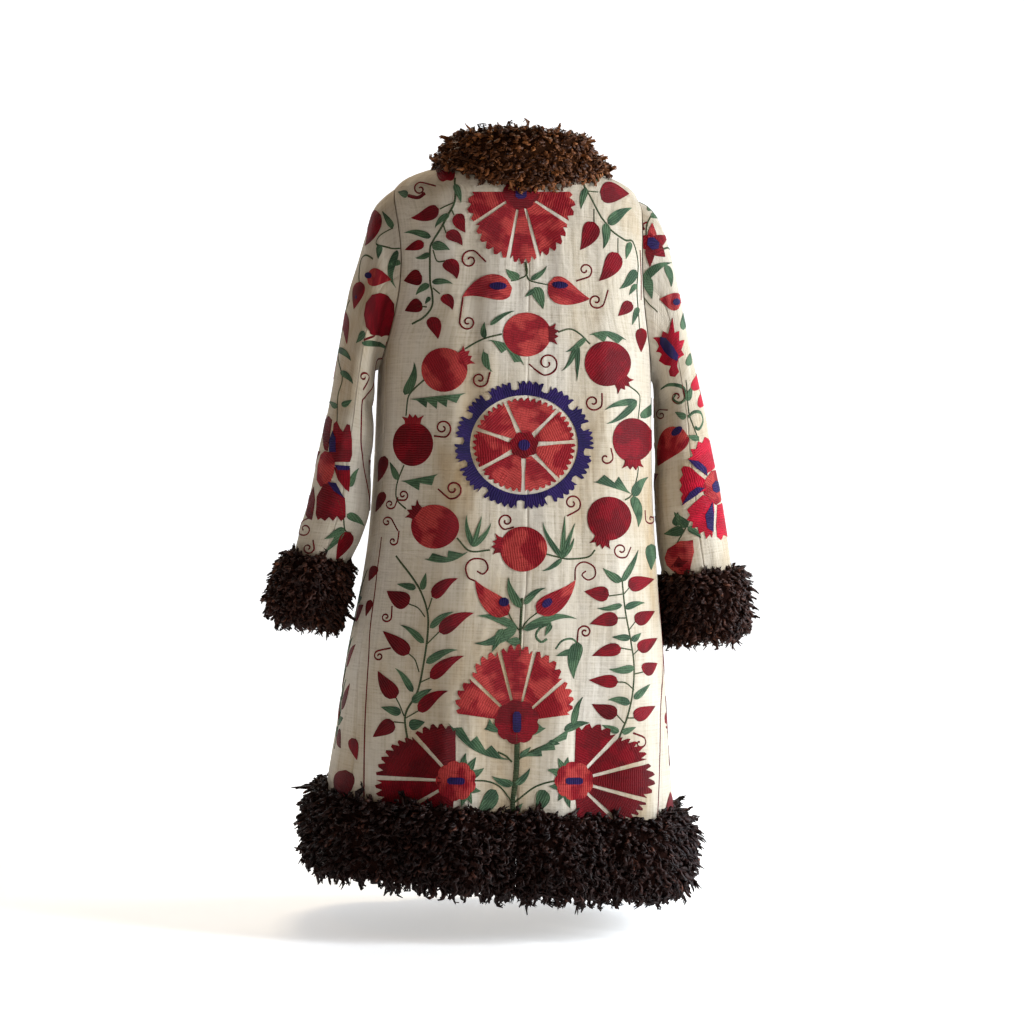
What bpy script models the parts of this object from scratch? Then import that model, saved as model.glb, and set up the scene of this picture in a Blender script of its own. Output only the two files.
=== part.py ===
"""Knee-length embroidered coat with curly fur at collar, cuffs and hem, filled out as worn.

+Z is up, the front faces -Y, the wearer's left is +X. The origin is the middle of the neck
base, level with the shoulders. All named sizes are in millimetres.
"""
import math
from collections import namedtuple

import bpy
import bmesh
import numpy as np

MM = 0.001

# Cloth and seams
WALL = 2.4
SEAM_GAP = 0.3
FRONT_PARTING = 8.0
FUR_SEAT_GAP = 0.6
CUFF_SEAT_GAP = 1.0
COLLAR_SEAT_GAP = 1.4
COLLAR_SEAT_SHARES = (1.0, 0.75, 0.5, 0.25, 0.0)

# Heights of the body's landmarks
NECK_SIDE = 12.0
NECK_BACK = -5.0
NECK_FRONT = -70.0
NECK_ROUND_BACK = 2.0
NECK_ROUND_FRONT = 7.0
HEM = -973.0
HEM_TILT = 14.0
HEM_TILT_TOP = -600.0

# Armhole: an oval on the side of the body
HOLE_TOP = -41.0
HOLE_BOTTOM = -300.0
HOLE_BACK = 62.0
FRONT_SHARE = 0.93
HOLE_STEPS = 24
GORE_STEPS = 6

# Mesh steps
PANEL_COLUMNS = 10
SKIRT_ROWS = 15
SHOULDER_ROWS = 6
SLEEVE_ROWS = 18

Ring = namedtuple("Ring", "height centre half_width back_depth front_depth squareness")
BODY = (
    Ring(-1060, -3, 266, 184, 174, 2.30),
    Ring(-1000, -3, 262, 180, 170, 2.30),
    Ring(-900, -3, 253, 174, 164, 2.30),
    Ring(-821, -4, 243, 168, 158, 2.30),
    Ring(-716, -6, 231, 160, 150, 2.30),
    Ring(-619, -10, 217, 150, 141, 2.35),
    Ring(-540, -12, 208, 142, 135, 2.40),
    Ring(-465, -11, 203, 136, 130, 2.40),
    Ring(-300, -8, 198, 128, 122, 2.40),
    Ring(-170, -7, 192, 120, 114, 2.40),
    Ring(-107, -5, 190, 112, 103, 2.40),
    Ring(-62, -3, 186, 103, 90, 2.30),
    Ring(-41, -3, 178, 97, 83, 2.20),
    Ring(-31, -4, 171, 93, 79, 2.20),
    Ring(-22, -5, 159, 89, 75, 2.15),
    Ring(-14, -6, 141, 84, 72, 2.10),
    Ring(-6, -6, 118, 78, 68, 2.05),
    Ring(3, -4, 92, 70, 64, 2.00),
    Ring(12, -4, 70, 62, 60, 2.00),
)

# Where the gore seam runs, as its distance behind the side line
GoreSeam = namedtuple("GoreSeam", "height behind")
GORE_SEAM = (
    GoreSeam(-1000, 115),
    GoreSeam(-821, 91),
    GoreSeam(-716, 68),
    GoreSeam(-619, 54),
    GoreSeam(-540, 46),
    GoreSeam(-465, 43),
    GoreSeam(-262, 44),
)

# Largest folds of the skirt: bearing from the centre back, towards the wearer's left
Fold = namedtuple("Fold", "bearing half_angle depth start full")
FOLDS = (
    Fold(-88, 9, -4, -640, -900),
    Fold(-53, 9, 11, -520, -900),
    Fold(-35, 7, -6, -600, -900),
    Fold(-17, 8, 5, -540, -860),
    Fold(6, 7, -4, -620, -900),
    Fold(24, 8, 6, -600, -900),
    Fold(43, 8, -6, -560, -900),
    Fold(62, 9, 6, -540, -900),
    Fold(90, 9, -6, -560, -900),
    Fold(119, 9, 6, -540, -900),
    Fold(140, 8, -6, -600, -900),
    Fold(160, 8, 5, -600, -900),
    Fold(-119, 9, 8, -540, -900),
    Fold(-141, 8, -5, -600, -900),
    Fold(-161, 8, 4, -600, -900),
)

# Sleeve sections: outer and inner end of each, its middle and its reach behind and in front
Section = namedtuple("Section", "outer_x outer_z inner_x inner_z middle behind before")
SLEEVE_LEFT = (
    Section(175, -41, 190, -300, 0, 62, 58),
    Section(187, -51, 196, -303, 4, 62, 58),
    Section(203, -70, 196.5, -306, 8, 61, 56),
    Section(214, -108, 197, -310, 12, 60, 54),
    Section(225, -150, 197, -315, 15, 59, 52),
    Section(236.5, -192, 197, -322, 18, 57, 50),
    Section(245, -250, 196.5, -333, 21, 55, 49),
    Section(254, -310, 196.5, -350, 23, 53, 48),
    Section(262, -362, 196.5, -382, 24, 51, 47),
    Section(272, -410, 196.5, -421, 24, 50, 46),
    Section(279, -452, 197.5, -462, 23, 49, 46),
    Section(286, -492, 200.5, -503, 21, 49, 46),
    Section(297, -532, 209, -541, 17, 49, 45),
    Section(304, -568, 226, -582, 12, 46, 44),
    Section(311, -610, 234, -622, 6, 45, 43),
    Section(317, -644, 240, -655, 0, 44, 42),
)
SLEEVE_RIGHT = (
    Section(181, -41, 206, -300, 0, 62, 58),
    Section(192, -46, 211, -303, 2, 62, 58),
    Section(208, -62, 213, -306, 3, 61, 56),
    Section(223, -95, 214, -309, 4, 60, 54),
    Section(236, -140, 215, -313, 4, 59, 53),
    Section(248, -190, 215.5, -318, 4, 58, 52),
    Section(262, -245, 216, -328, 3, 57, 51),
    Section(278, -305, 216.5, -348, 2, 55, 50),
    Section(290, -350, 217, -380, 1, 54, 50),
    Section(300, -396, 218, -418, 0, 53, 50),
    Section(311, -440, 220, -458, -1, 53, 50),
    Section(322, -488, 223.5, -506, -2, 53, 50),
    Section(330, -530, 228.5, -548, -3, 53, 50),
    Section(337, -570, 237, -590, -4, 51, 48),
    Section(342, -618, 242, -633, -5, 49, 46),
    Section(346, -652, 246, -664, -6, 48, 45),
)
# How far each sleeve section still follows the armhole
HOLE_PULL = (1.0, 0.72, 0.46, 0.26, 0.12, 0.04)

# Largest creases of the sleeves: place along the sections, bearing round the sleeve from its
# outer line over the back, reach each way, depth
Crease = namedtuple("Crease", "along bearing reach half_angle depth")
CREASES_LEFT = (
    Crease(7.2, 150, 0.5, 40, -5),
    Crease(8.3, 100, 0.6, 50, 3),
    Crease(9.4, 160, 0.5, 45, -4),
    Crease(11.0, 130, 0.6, 45, 4),
    Crease(12.3, 80, 0.5, 60, -4),
    Crease(8.6, 250, 0.6, 45, -4),
    Crease(10.6, 270, 0.6, 45, -3),
)
CREASES_RIGHT = (
    Crease(6.6, 130, 0.6, 40, -4),
    Crease(8.0, 80, 0.6, 50, 3),
    Crease(9.2, 150, 0.5, 45, -4),
    Crease(11.4, 110, 0.6, 50, -3),
    Crease(8.6, 240, 0.6, 45, -4),
    Crease(10.8, 270, 0.6, 45, -3),
)

# Fur bands: section points as distance down the cloth and distance off it
Pile = namedtuple("Pile", "down off")
HEM_FUR_TOP = -916.0
HEM_PILE = (
    Pile(0, FUR_SEAT_GAP), Pile(-4, 10), Pile(0, 22), Pile(15, 30), Pile(38, 33), Pile(61, 33),
    Pile(81, 28), Pile(97, 17), Pile(103, 2), Pile(96, -12), Pile(73, -12), Pile(61, -6),
    Pile(60, FUR_SEAT_GAP), Pile(40, FUR_SEAT_GAP), Pile(20, FUR_SEAT_GAP),
)
CUFF_PILE = (
    Pile(0, CUFF_SEAT_GAP), Pile(-6, 9), Pile(0, 18), Pile(16, 24), Pile(42, 26), Pile(66, 24),
    Pile(86, 15), Pile(92, 2), Pile(86, -9), Pile(79, -7), Pile(77, CUFF_SEAT_GAP),
    Pile(51, CUFF_SEAT_GAP), Pile(26, CUFF_SEAT_GAP),
)
CUFF_CLOTH = 74.0
CUFF_PILE_SIDE = 0.80
CUFF_PILE_SHIFT = 0.42
FUR_LUMP = 2.6

# Collar section: rise above the neck edge and distance out from it, then its seat on the cloth
Roll = namedtuple("Roll", "rise out")
COLLAR_ROLL = (
    Roll(14, -3), Roll(34, -2), Roll(48, 7), Roll(53, 20), Roll(45, 34), Roll(26, 43), Roll(4, 46),
)
COLLAR_SEAT_BACK = 40.0
COLLAR_SEAT_SIDE = 17.0
COLLAR_SEAT_FRONT = 34.0
COLLAR_FALL_AT = (0.0, 0.5, 1.0, 2.0)
COLLAR_FALL = (1.0, 0.86, 0.56, 0.62)
COLLAR_GAP = 6.0

CLOTH_COLOUR = (0.67, 0.60, 0.50, 1.0)
FUR_COLOUR = (0.030, 0.014, 0.010, 1.0)


def slopes(at, values):
    """Slopes of a smooth curve through the values, with no overshoot between them."""
    step = np.diff(at)
    rise = np.diff(values) / step
    result = np.empty(len(values))
    result[0] = rise[0]
    result[-1] = rise[-1]
    for k in range(1, len(values) - 1):
        before, after = rise[k - 1], rise[k]
        if before * after <= 0.0:
            result[k] = 0.0
        else:
            first = 2.0 * step[k] + step[k - 1]
            second = step[k] + 2.0 * step[k - 1]
            result[k] = (first + second) / (first / before + second / after)
    return result


def smooth(at, values, where):
    """Value of the smooth curve at one or many places."""
    at = np.asarray(at, dtype=float)
    values = np.asarray(values, dtype=float)
    where = np.asarray(where, dtype=float)
    slope = slopes(at, values)
    k = np.clip(np.searchsorted(at, where) - 1, 0, len(at) - 2)
    step = at[k + 1] - at[k]
    t = (where - at[k]) / step
    first = (1 + 2 * t) * (1 - t) ** 2 * values[k] + t * (1 - t) ** 2 * step * slope[k]
    second = t * t * (3 - 2 * t) * values[k + 1] + t * t * (t - 1) * step * slope[k + 1]
    return first + second


def column(table, name):
    return [getattr(row, name) for row in table]


def ease(t):
    """A soft step from 0 to 1."""
    t = np.clip(t, 0.0, 1.0)
    return t * t * (3.0 - 2.0 * t)


def fold_depth(angle, height):
    """How far the skirt's folds stand out at a bearing and height."""
    total = np.zeros(np.broadcast(angle, height).shape)
    for fold in FOLDS:
        turn = np.degrees(angle) - fold.bearing
        turn = (turn + 180.0) % 360.0 - 180.0
        grown = ease((fold.start - height) / (fold.start - fold.full))
        total = total + fold.depth * grown * np.exp(-(turn / fold.half_angle) ** 2)
    return total


def ring_at(height):
    heights = column(BODY, "height")
    return [smooth(heights, column(BODY, name), height) for name in Ring._fields[1:]]


def body(angle, height):
    """Point on the coat's outer surface; the angle runs from the centre back to the wearer's left."""
    angle = np.asarray(angle, dtype=float)
    height = np.asarray(height, dtype=float)
    centre, half_width, back, front, power = ring_at(height)
    depth = np.where(np.cos(angle) >= 0.0, back, front)
    across = (np.abs(np.sin(angle)) / half_width) ** power
    along = (np.abs(np.cos(angle)) / depth) ** power
    radius = (across + along) ** (-1.0 / power) + fold_depth(angle, height)
    tilt = HEM_TILT * np.sin(angle) * ease((HEM_TILT_TOP - height) / (HEM_TILT_TOP - HEM))
    return np.stack([centre + radius * np.sin(angle), radius * np.cos(angle), height + tilt], axis=-1)


def unit(vectors):
    return vectors / np.linalg.norm(vectors, axis=-1, keepdims=True)


def body_normal(angle, height):
    turn, lift = 0.004, 0.5
    around = body(angle + turn, height) - body(angle - turn, height)
    up = body(angle, height + lift) - body(angle, height - lift)
    return unit(np.cross(up, around))


def hole_height(turn):
    """Height on the armhole; turn is 0 at its top and grows over the back."""
    middle = 0.5 * (HOLE_TOP + HOLE_BOTTOM)
    return middle + 0.5 * (HOLE_TOP - HOLE_BOTTOM) * np.cos(turn)


def side_angle(behind, height, face):
    """Bearing of the surface point that lies so far behind (face 1) or before (face -1) the side."""
    _, half_width, back, front, power = ring_at(height)
    depth = back if face > 0 else front
    across = half_width * (1.0 - (behind / depth) ** power) ** (1.0 / power)
    return math.atan2(across, face * behind)


def hole_angle(turn):
    """Bearing of a point on the left armhole."""
    face = 1 if math.sin(turn) >= 0.0 else -1
    share = 1.0 if face > 0 else FRONT_SHARE
    return side_angle(HOLE_BACK * share * abs(math.sin(turn)), hole_height(turn), face)


HOLE_TURN = 2.0 * math.pi / HOLE_STEPS
GORE_CORNER = math.pi - HOLE_TURN * GORE_STEPS / 2


def edge_rows(face):
    """Heights and bearings of a panel's outer edge: gore seam, armhole, shoulder seam."""
    corner = hole_height(GORE_CORNER)
    rows = []
    for k in range(SKIRT_ROWS):
        height = HEM + (corner - HEM) * k / SKIRT_ROWS
        rows.append((height, gore_seam_angle(height, face)))
    for k in range(HOLE_STEPS // 2 - GORE_STEPS // 2 + 1):
        turn = GORE_CORNER - k * HOLE_TURN
        rows.append((hole_height(turn), hole_angle(face * turn)))
    for k in range(1, SHOULDER_ROWS + 1):
        rows.append((HOLE_TOP + (NECK_SIDE - HOLE_TOP) * k / SHOULDER_ROWS, math.pi / 2))
    return rows


def middle_heights(rows, top, start):
    """Heights of the same rows at the centre line, which ends at the neck edge."""
    result = []
    for k, (height, _) in enumerate(rows):
        if k <= start:
            result.append(height)
        else:
            result.append(rows[start][0] + (top - rows[start][0]) * (k - start) / (len(rows) - 1 - start))
    return result


def neck_rise(share, face):
    """Rise of the neck edge from the centre line (0) to the shoulder seam (1)."""
    return 1.0 - (1.0 - share ** 2) ** (NECK_ROUND_BACK if face > 0 else NECK_ROUND_FRONT)


def panel_grid(side, face):
    """Outer points and normals of one back (face 1) or front (face -1) panel."""
    rows = edge_rows(face)
    if face > 0:
        start = len(rows) - 1 - SHOULDER_ROWS
        middle = middle_heights(rows, NECK_BACK, start)
    else:
        middle = middle_heights(rows, NECK_FRONT, SKIRT_ROWS)
    share = np.arange(PANEL_COLUMNS + 1)[:, None] / PANEL_COLUMNS
    edge_height = np.array([row[0] for row in rows])[None, :]
    edge_angle = np.array([row[1] for row in rows])[None, :]
    middle = np.array(middle)[None, :]
    height = middle + (edge_height - middle) * neck_rise(share, face)
    if face > 0:
        angle = side * share * edge_angle
    else:
        depth = smooth(column(BODY, "height"), column(BODY, "front_depth"), middle)
        start_angle = math.pi - 0.5 * FRONT_PARTING / depth
        angle = side * (start_angle + share * (edge_angle - start_angle))
    return body(angle, height), body_normal(angle, height)


def gore_grid(side):
    """Outer points and normals of one side gore, whose top is the armhole's lower arc."""
    back_rows = edge_rows(1)[:SKIRT_ROWS + 1]
    front_rows = edge_rows(-1)[:SKIRT_ROWS + 1]
    share = np.arange(GORE_STEPS + 1)[:, None] / GORE_STEPS
    turns = [GORE_CORNER + k * HOLE_TURN for k in range(GORE_STEPS + 1)]
    top_height = np.array([hole_height(turn) for turn in turns])[:, None]
    top_angle = np.array([hole_angle(turn) for turn in turns])[:, None]
    height = np.array([row[0] for row in back_rows])[None, :]
    back = np.array([row[1] for row in back_rows])[None, :]
    front = np.array([row[1] for row in front_rows])[None, :]
    pull = (np.arange(SKIRT_ROWS + 1)[None, :] / SKIRT_ROWS) ** 4
    angle = back + (front - back) * share
    angle = angle + (top_angle - angle[:, -1:]) * pull
    height = height + (top_height - top_height[0, 0]) * pull
    return body(side * angle, height), body_normal(side * angle, height)


def sleeve_rings(side, table, creases, places):
    """Closed rings of a sleeve's outer surface at places along its table of sections."""
    turns = np.arange(HOLE_STEPS) * HOLE_TURN
    hole_h = np.array([hole_height(turn) for turn in turns])
    hole_a = side * np.array([hole_angle(turn) for turn in turns])
    hole = body(hole_a, hole_h) + FUR_SEAT_GAP * body_normal(hole_a, hole_h)
    index = np.arange(len(table))
    at = {name: smooth(index, column(table, name), places) for name in Section._fields}

    def flat_rings(values):
        outer = np.stack([side * values["outer_x"], values["middle"], values["outer_z"]], axis=-1)
        inner = np.stack([side * values["inner_x"], values["middle"], values["inner_z"]], axis=-1)
        centre = 0.5 * (outer + inner)[:, None, :]
        half = 0.5 * (outer - inner)[:, None, :]
        depth = np.where(np.sin(turns)[None, :] >= 0.0, values["behind"][:, None], values["before"][:, None])
        rings = centre + half * np.cos(turns)[None, :, None]
        rings[:, :, 1] += depth * np.sin(turns)[None, :]
        return rings

    rings = flat_rings(at)
    first = {name: np.array([float(getattr(table[0], name))]) for name in Section._fields}
    pull = smooth(np.arange(len(HOLE_PULL) + 2), HOLE_PULL + (0.0, 0.0), np.minimum(places, len(HOLE_PULL)))
    rings = rings + pull[:, None, None] * (hole[None] - flat_rings(first))
    depth = np.zeros((len(places), HOLE_STEPS))
    for crease in creases:
        turn = (np.degrees(turns) - crease.bearing + 180.0) % 360.0 - 180.0
        reach = np.exp(-((places - crease.along) / crease.reach) ** 2)
        depth += crease.depth * reach[:, None] * np.exp(-(turn / crease.half_angle) ** 2)[None, :]
    return rings + depth[:, :, None] * ring_normals(rings, side)


def ring_normals(rings, side):
    """Outward normals of closed rings."""
    around = np.roll(rings, -1, axis=1) - np.roll(rings, 1, axis=1)
    along = np.gradient(rings, axis=0)
    return unit(side * np.cross(along, around))


def inset(points, sides):
    """The grid with the named edges drawn back by half a seam gap."""
    points = points.copy()
    ends = {
        "first_column": (points[0], points[1]),
        "last_column": (points[-1], points[-2]),
        "first_row": (points[:, 0], points[:, 1]),
        "last_row": (points[:, -1], points[:, -2]),
    }
    for name in sides:
        edge, inner = ends[name]
        edge += 0.5 * SEAM_GAP * unit(inner - edge)
    return points


def make_object(name, mesh_builder, material, collection):
    """Object from a filled bmesh in millimetres."""
    mesh = bpy.data.meshes.new(name)
    mesh_builder.normal_update()
    bmesh.ops.recalc_face_normals(mesh_builder, faces=mesh_builder.faces[:])
    bmesh.ops.triangulate(mesh_builder, faces=mesh_builder.faces[:])
    mesh_builder.to_mesh(mesh)
    mesh_builder.free()
    mesh.shade_smooth()
    mesh.set_sharp_from_angle(angle=math.radians(40))
    mesh.materials.append(material)
    item = bpy.data.objects.new(name, mesh)
    collection.objects.link(item)
    return item


def cloth_piece(name, points, normals, sides, material, collection):
    """A closed wall of cloth whose outer face is the grid of points."""
    outer = inset(points, sides)
    inner = outer - WALL * normals
    columns, rows = points.shape[0] - 1, points.shape[1] - 1
    bm = bmesh.new()
    bmesh.ops.create_grid(bm, x_segments=columns, y_segments=rows, size=0.5)
    faces = bm.faces[:]
    walled = bmesh.ops.extrude_face_region(bm, geom=faces, use_keep_orig=True)
    under = [item for item in walled["geom"] if isinstance(item, bmesh.types.BMVert)]
    for vert in under:
        vert.co.z = -1.0
    for vert in bm.verts:
        i = round((vert.co.x + 0.5) * columns)
        j = round((vert.co.y + 0.5) * rows)
        source = inner if vert.co.z < -0.5 else outer
        vert.co = source[i, j] * MM
    return make_object(name, bm, material, collection)


def fur_piece(name, points, closed, material, collection):
    """A fur band: rows of points round its section, capped at its ends unless it is a ring."""
    stations, around = points.shape[0], points.shape[1]
    segments = stations if closed else stations - 1
    bm = bmesh.new()
    bmesh.ops.create_grid(bm, x_segments=segments, y_segments=around, size=0.5)
    for vert in bm.verts:
        i = round((vert.co.x + 0.5) * segments) % stations
        j = round((vert.co.y + 0.5) * around) % around
        vert.co = points[i, j] * MM
    bmesh.ops.remove_doubles(bm, verts=bm.verts[:], dist=1e-6)
    if not closed:
        ends = [edge for edge in bm.edges if edge.is_boundary]
        bmesh.ops.holes_fill(bm, edges=ends, sides=around)
    return make_object(name, bm, material, collection)


def lump(i, j, period):
    """Uneven standing of the curls, the same on each run, repeating after the period."""
    turn = 2.0 * math.pi * i / period
    wave = math.sin(7 * turn + 1.9 * j) + math.sin(11 * turn - 2.7 * j + 1.0)
    return 0.5 * wave + 0.5 * math.sin(3 * turn + 4.1 * j)


def gore_seam_angle(height, face):
    """Bearing of the seam between a panel and its gore, on the wearer's left."""
    behind = smooth(column(GORE_SEAM, "height"), column(GORE_SEAM, "behind"), height)
    return side_angle(behind * (1.0 if face > 0 else FRONT_SHARE), height, face)


def hem_bearings(side, face, height):
    """Bearings along one quarter of the hem at a height, at the cloth's own columns."""
    height = max(height, HEM)
    seam = gore_seam_angle(height, face)
    side_line = 0.5 * (seam + gore_seam_angle(height, -face))
    parting = 0.5 * (SEAM_GAP if face > 0 else FRONT_PARTING) / abs(body(0.0, height)[1])
    centre = parting if face > 0 else math.pi - parting
    steps = np.concatenate([np.linspace(centre, seam, PANEL_COLUMNS + 1),
                            np.linspace(seam, side_line, GORE_STEPS // 2 + 1)[1:]])
    steps[-1] -= 0.5 * face * SEAM_GAP / body(math.pi / 2, height)[0]
    return side * steps


def hem_fur_points(side, face):
    """Section rows of one quarter of the hem band."""
    rows = []
    for j, pile in enumerate(HEM_PILE):
        height = HEM_FUR_TOP - pile.down
        angles = hem_bearings(side, face, height)
        off = np.full(len(angles), float(pile.off))
        if pile.off > 5.0:
            off += FUR_LUMP * np.array([lump(angle, j, 2.0 * math.pi) for angle in angles])
        rows.append(body(angles, height) + off[:, None] * body_normal(angles, height))
    return np.stack(rows, axis=1)


def cuff_fur_points(rings, side):
    """Section rows of a cuff band round the last stretch of a sleeve."""
    normals = ring_normals(rings, side)
    points = np.empty((HOLE_STEPS, len(CUFF_PILE), 3))
    for i in range(HOLE_STEPS):
        line = rings[:, i]
        steps = np.linalg.norm(np.diff(line, axis=0), axis=-1)
        down = np.concatenate([[0.0], np.cumsum(steps)])
        down -= down[-1] - CUFF_CLOTH
        spread = CUFF_PILE_SIDE + CUFF_PILE_SHIFT * math.cos(i * HOLE_TURN)
        for j, pile in enumerate(CUFF_PILE):
            on_cloth = min(pile.down, CUFF_CLOTH)
            place = np.array([np.interp(on_cloth, down, line[:, axis]) for axis in range(3)])
            normal = unit(np.array([np.interp(on_cloth, down, normals[:, i, axis]) for axis in range(3)]))
            past = (pile.down - on_cloth) * unit(line[-1] - line[-3])
            off = pile.off
            if off > 5.0:
                off = spread * (off + FUR_LUMP * lump(i, j, HOLE_STEPS))
            points[i, j] = place + past + off * normal
    return points


def neck_edge(angle):
    """Height of the neck edge at a bearing."""
    share = abs(angle) / (math.pi / 2)
    if share <= 1.0:
        return NECK_BACK + (NECK_SIDE - NECK_BACK) * neck_rise(share, 1)
    return NECK_FRONT + (NECK_SIDE - NECK_FRONT) * neck_rise(2.0 - share, -1)


def collar_points():
    """Section rows of the collar, from the left front end round the back to the right one."""
    seats = (COLLAR_SEAT_BACK, COLLAR_SEAT_SIDE, COLLAR_SEAT_FRONT)
    end = math.pi - 0.5 * COLLAR_GAP / float(-body(math.pi, NECK_FRONT)[1])
    bearings = np.linspace(math.pi, -math.pi, 4 * PANEL_COLUMNS + 1)
    bearings[0], bearings[-1] = end, -end
    points = np.empty((len(bearings), len(COLLAR_ROLL) + 1 + len(COLLAR_SEAT_SHARES), 3))
    for i, angle in enumerate(bearings):
        edge = neck_edge(angle)
        share = abs(angle) / (math.pi / 2)
        seat = np.interp(share, (0.0, 1.0, 2.0), seats)
        base = body(angle, edge)
        out = np.array([math.sin(angle), math.cos(angle), 0.0])
        fall = np.interp(share, COLLAR_FALL_AT, COLLAR_FALL)
        row = []
        for j, roll in enumerate(COLLAR_ROLL):
            wave = FUR_LUMP * lump(angle, j, 2.0 * math.pi)
            rise = fall * roll.rise + 0.6 * wave
            row.append(base + np.array([0.0, 0.0, rise]) + (roll.out + 0.7 * wave) * out)
        low = edge - seat
        row.append(body(angle, low) + 12.0 * body_normal(angle, low) - np.array([0.0, 0.0, 2.0]))
        for share_down in COLLAR_SEAT_SHARES:
            height = edge - share_down * seat
            row.append(body(angle, height) + COLLAR_SEAT_GAP * body_normal(angle, height))
        points[i] = row
    return points


def make_material(name, colour, roughness):
    material = bpy.data.materials.new(name)
    material.use_nodes = True
    shader = material.node_tree.nodes["Principled BSDF"]
    shader.inputs["Base Color"].default_value = colour
    shader.inputs["Roughness"].default_value = roughness
    shader.inputs["Metallic"].default_value = 0.0
    return material


def main():
    for item in list(bpy.data.objects):
        bpy.data.objects.remove(item)
    collection = bpy.data.collections.new("coat")
    bpy.context.scene.collection.children.link(collection)

    def cloth(name, points, normals, sides):
        cloth_piece(name, points, normals, sides, make_material(name, CLOTH_COLOUR, 0.85), collection)

    def fur(name, points, closed):
        fur_piece(name, points, closed, make_material(name, FUR_COLOUR, 0.7), collection)

    for side, word in ((1, "left"), (-1, "right")):
        cloth("back_" + word, *panel_grid(side, 1), ("first_column", "last_column"))
        cloth("front_" + word, *panel_grid(side, -1), ("last_column",))
        cloth("side_gore_" + word, *gore_grid(side), ("first_column", "last_column", "last_row"))
        table = SLEEVE_LEFT if side > 0 else SLEEVE_RIGHT
        creases = CREASES_LEFT if side > 0 else CREASES_RIGHT
        places = np.linspace(0.0, len(table) - 1.0, SLEEVE_ROWS + 1)
        rings = sleeve_rings(side, table, creases, places)
        normals = ring_normals(rings, side)
        quarter = HOLE_STEPS // 4
        outer = [k % HOLE_STEPS for k in range(-quarter, quarter + 1)]
        under = list(range(quarter, 3 * quarter + 1))
        for part, picks in (("outer", outer), ("under", under)):
            grid = np.swapaxes(rings[:, picks], 0, 1)
            grid_normals = np.swapaxes(normals[:, picks], 0, 1)
            cloth("sleeve_%s_%s" % (part, word), grid, grid_normals, ("first_column", "last_column"))
        fur("cuff_fur_" + word, cuff_fur_points(rings, side), True)
        fur("hem_fur_back_" + word, hem_fur_points(side, 1), False)
        fur("hem_fur_front_" + word, hem_fur_points(side, -1), False)
    fur("collar_fur", collar_points(), False)


main()
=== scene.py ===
import math
from collections import namedtuple

import bmesh
import bpy
import numpy as np
from mathutils import Matrix, Vector
from mathutils.kdtree import KDTree


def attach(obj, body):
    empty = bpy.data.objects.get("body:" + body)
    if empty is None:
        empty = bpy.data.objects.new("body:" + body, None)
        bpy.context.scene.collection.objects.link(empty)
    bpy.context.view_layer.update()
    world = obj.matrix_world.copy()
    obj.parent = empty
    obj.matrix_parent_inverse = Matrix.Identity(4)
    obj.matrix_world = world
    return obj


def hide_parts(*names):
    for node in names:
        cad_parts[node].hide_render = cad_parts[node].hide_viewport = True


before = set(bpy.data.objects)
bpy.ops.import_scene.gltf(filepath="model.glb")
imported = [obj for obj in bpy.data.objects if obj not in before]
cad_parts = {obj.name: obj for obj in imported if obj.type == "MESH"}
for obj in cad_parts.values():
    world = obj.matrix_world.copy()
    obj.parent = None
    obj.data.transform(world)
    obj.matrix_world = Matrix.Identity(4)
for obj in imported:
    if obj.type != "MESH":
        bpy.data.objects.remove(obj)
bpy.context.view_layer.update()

# Knee-length coat of cream cotton with stitched flowers and fruit, and curly fur at its collar,
# cuffs and hem. Sizes are in millimetres unless a name says otherwise.
MM = 0.001

# Where the photograph was taken from, and how the coat stands in it
VIEW_BEARING = 172.0
VIEW_DISTANCE = 3000.0
VIEW_AIM_HEIGHT = -499.0
VIEW_ROLL = 1.6
VIEW_LENS_PIXELS = 2069.0
VIEW_AXIS_PX = 505.5
PICTURE = 1024.0

# Cloth and seams
WALL = 2.2
SEAM_GAP = 0.3
SEAM_DIP = 0.9
FRONT_PARTING = 8.0
FUR_SEAT_GAP = 0.6
CUFF_SEAT_GAP = 1.0
COLLAR_SEAT_GAP = 1.4

# Heights of the body's landmarks
NECK_SIDE = 12.0
NECK_BACK = -5.0
NECK_FRONT = -70.0
NECK_ROUND_BACK = 2.0
NECK_ROUND_FRONT = 7.0
HEM = -973.0
HEM_TILT = 14.0
HEM_TILT_TOP = -600.0

# Armhole: an oval on the side of the body
HOLE_TOP = -41.0
HOLE_BOTTOM = -300.0
HOLE_BACK = 62.0
FRONT_SHARE = 0.93
HOLE_STEPS = 96
GORE_STEPS = 24

# Fineness of the cloth
PANEL_COLUMNS = 40
SKIRT_ROWS = 114
SHOULDER_ROWS = 12
SLEEVE_ROWS = 84

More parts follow.
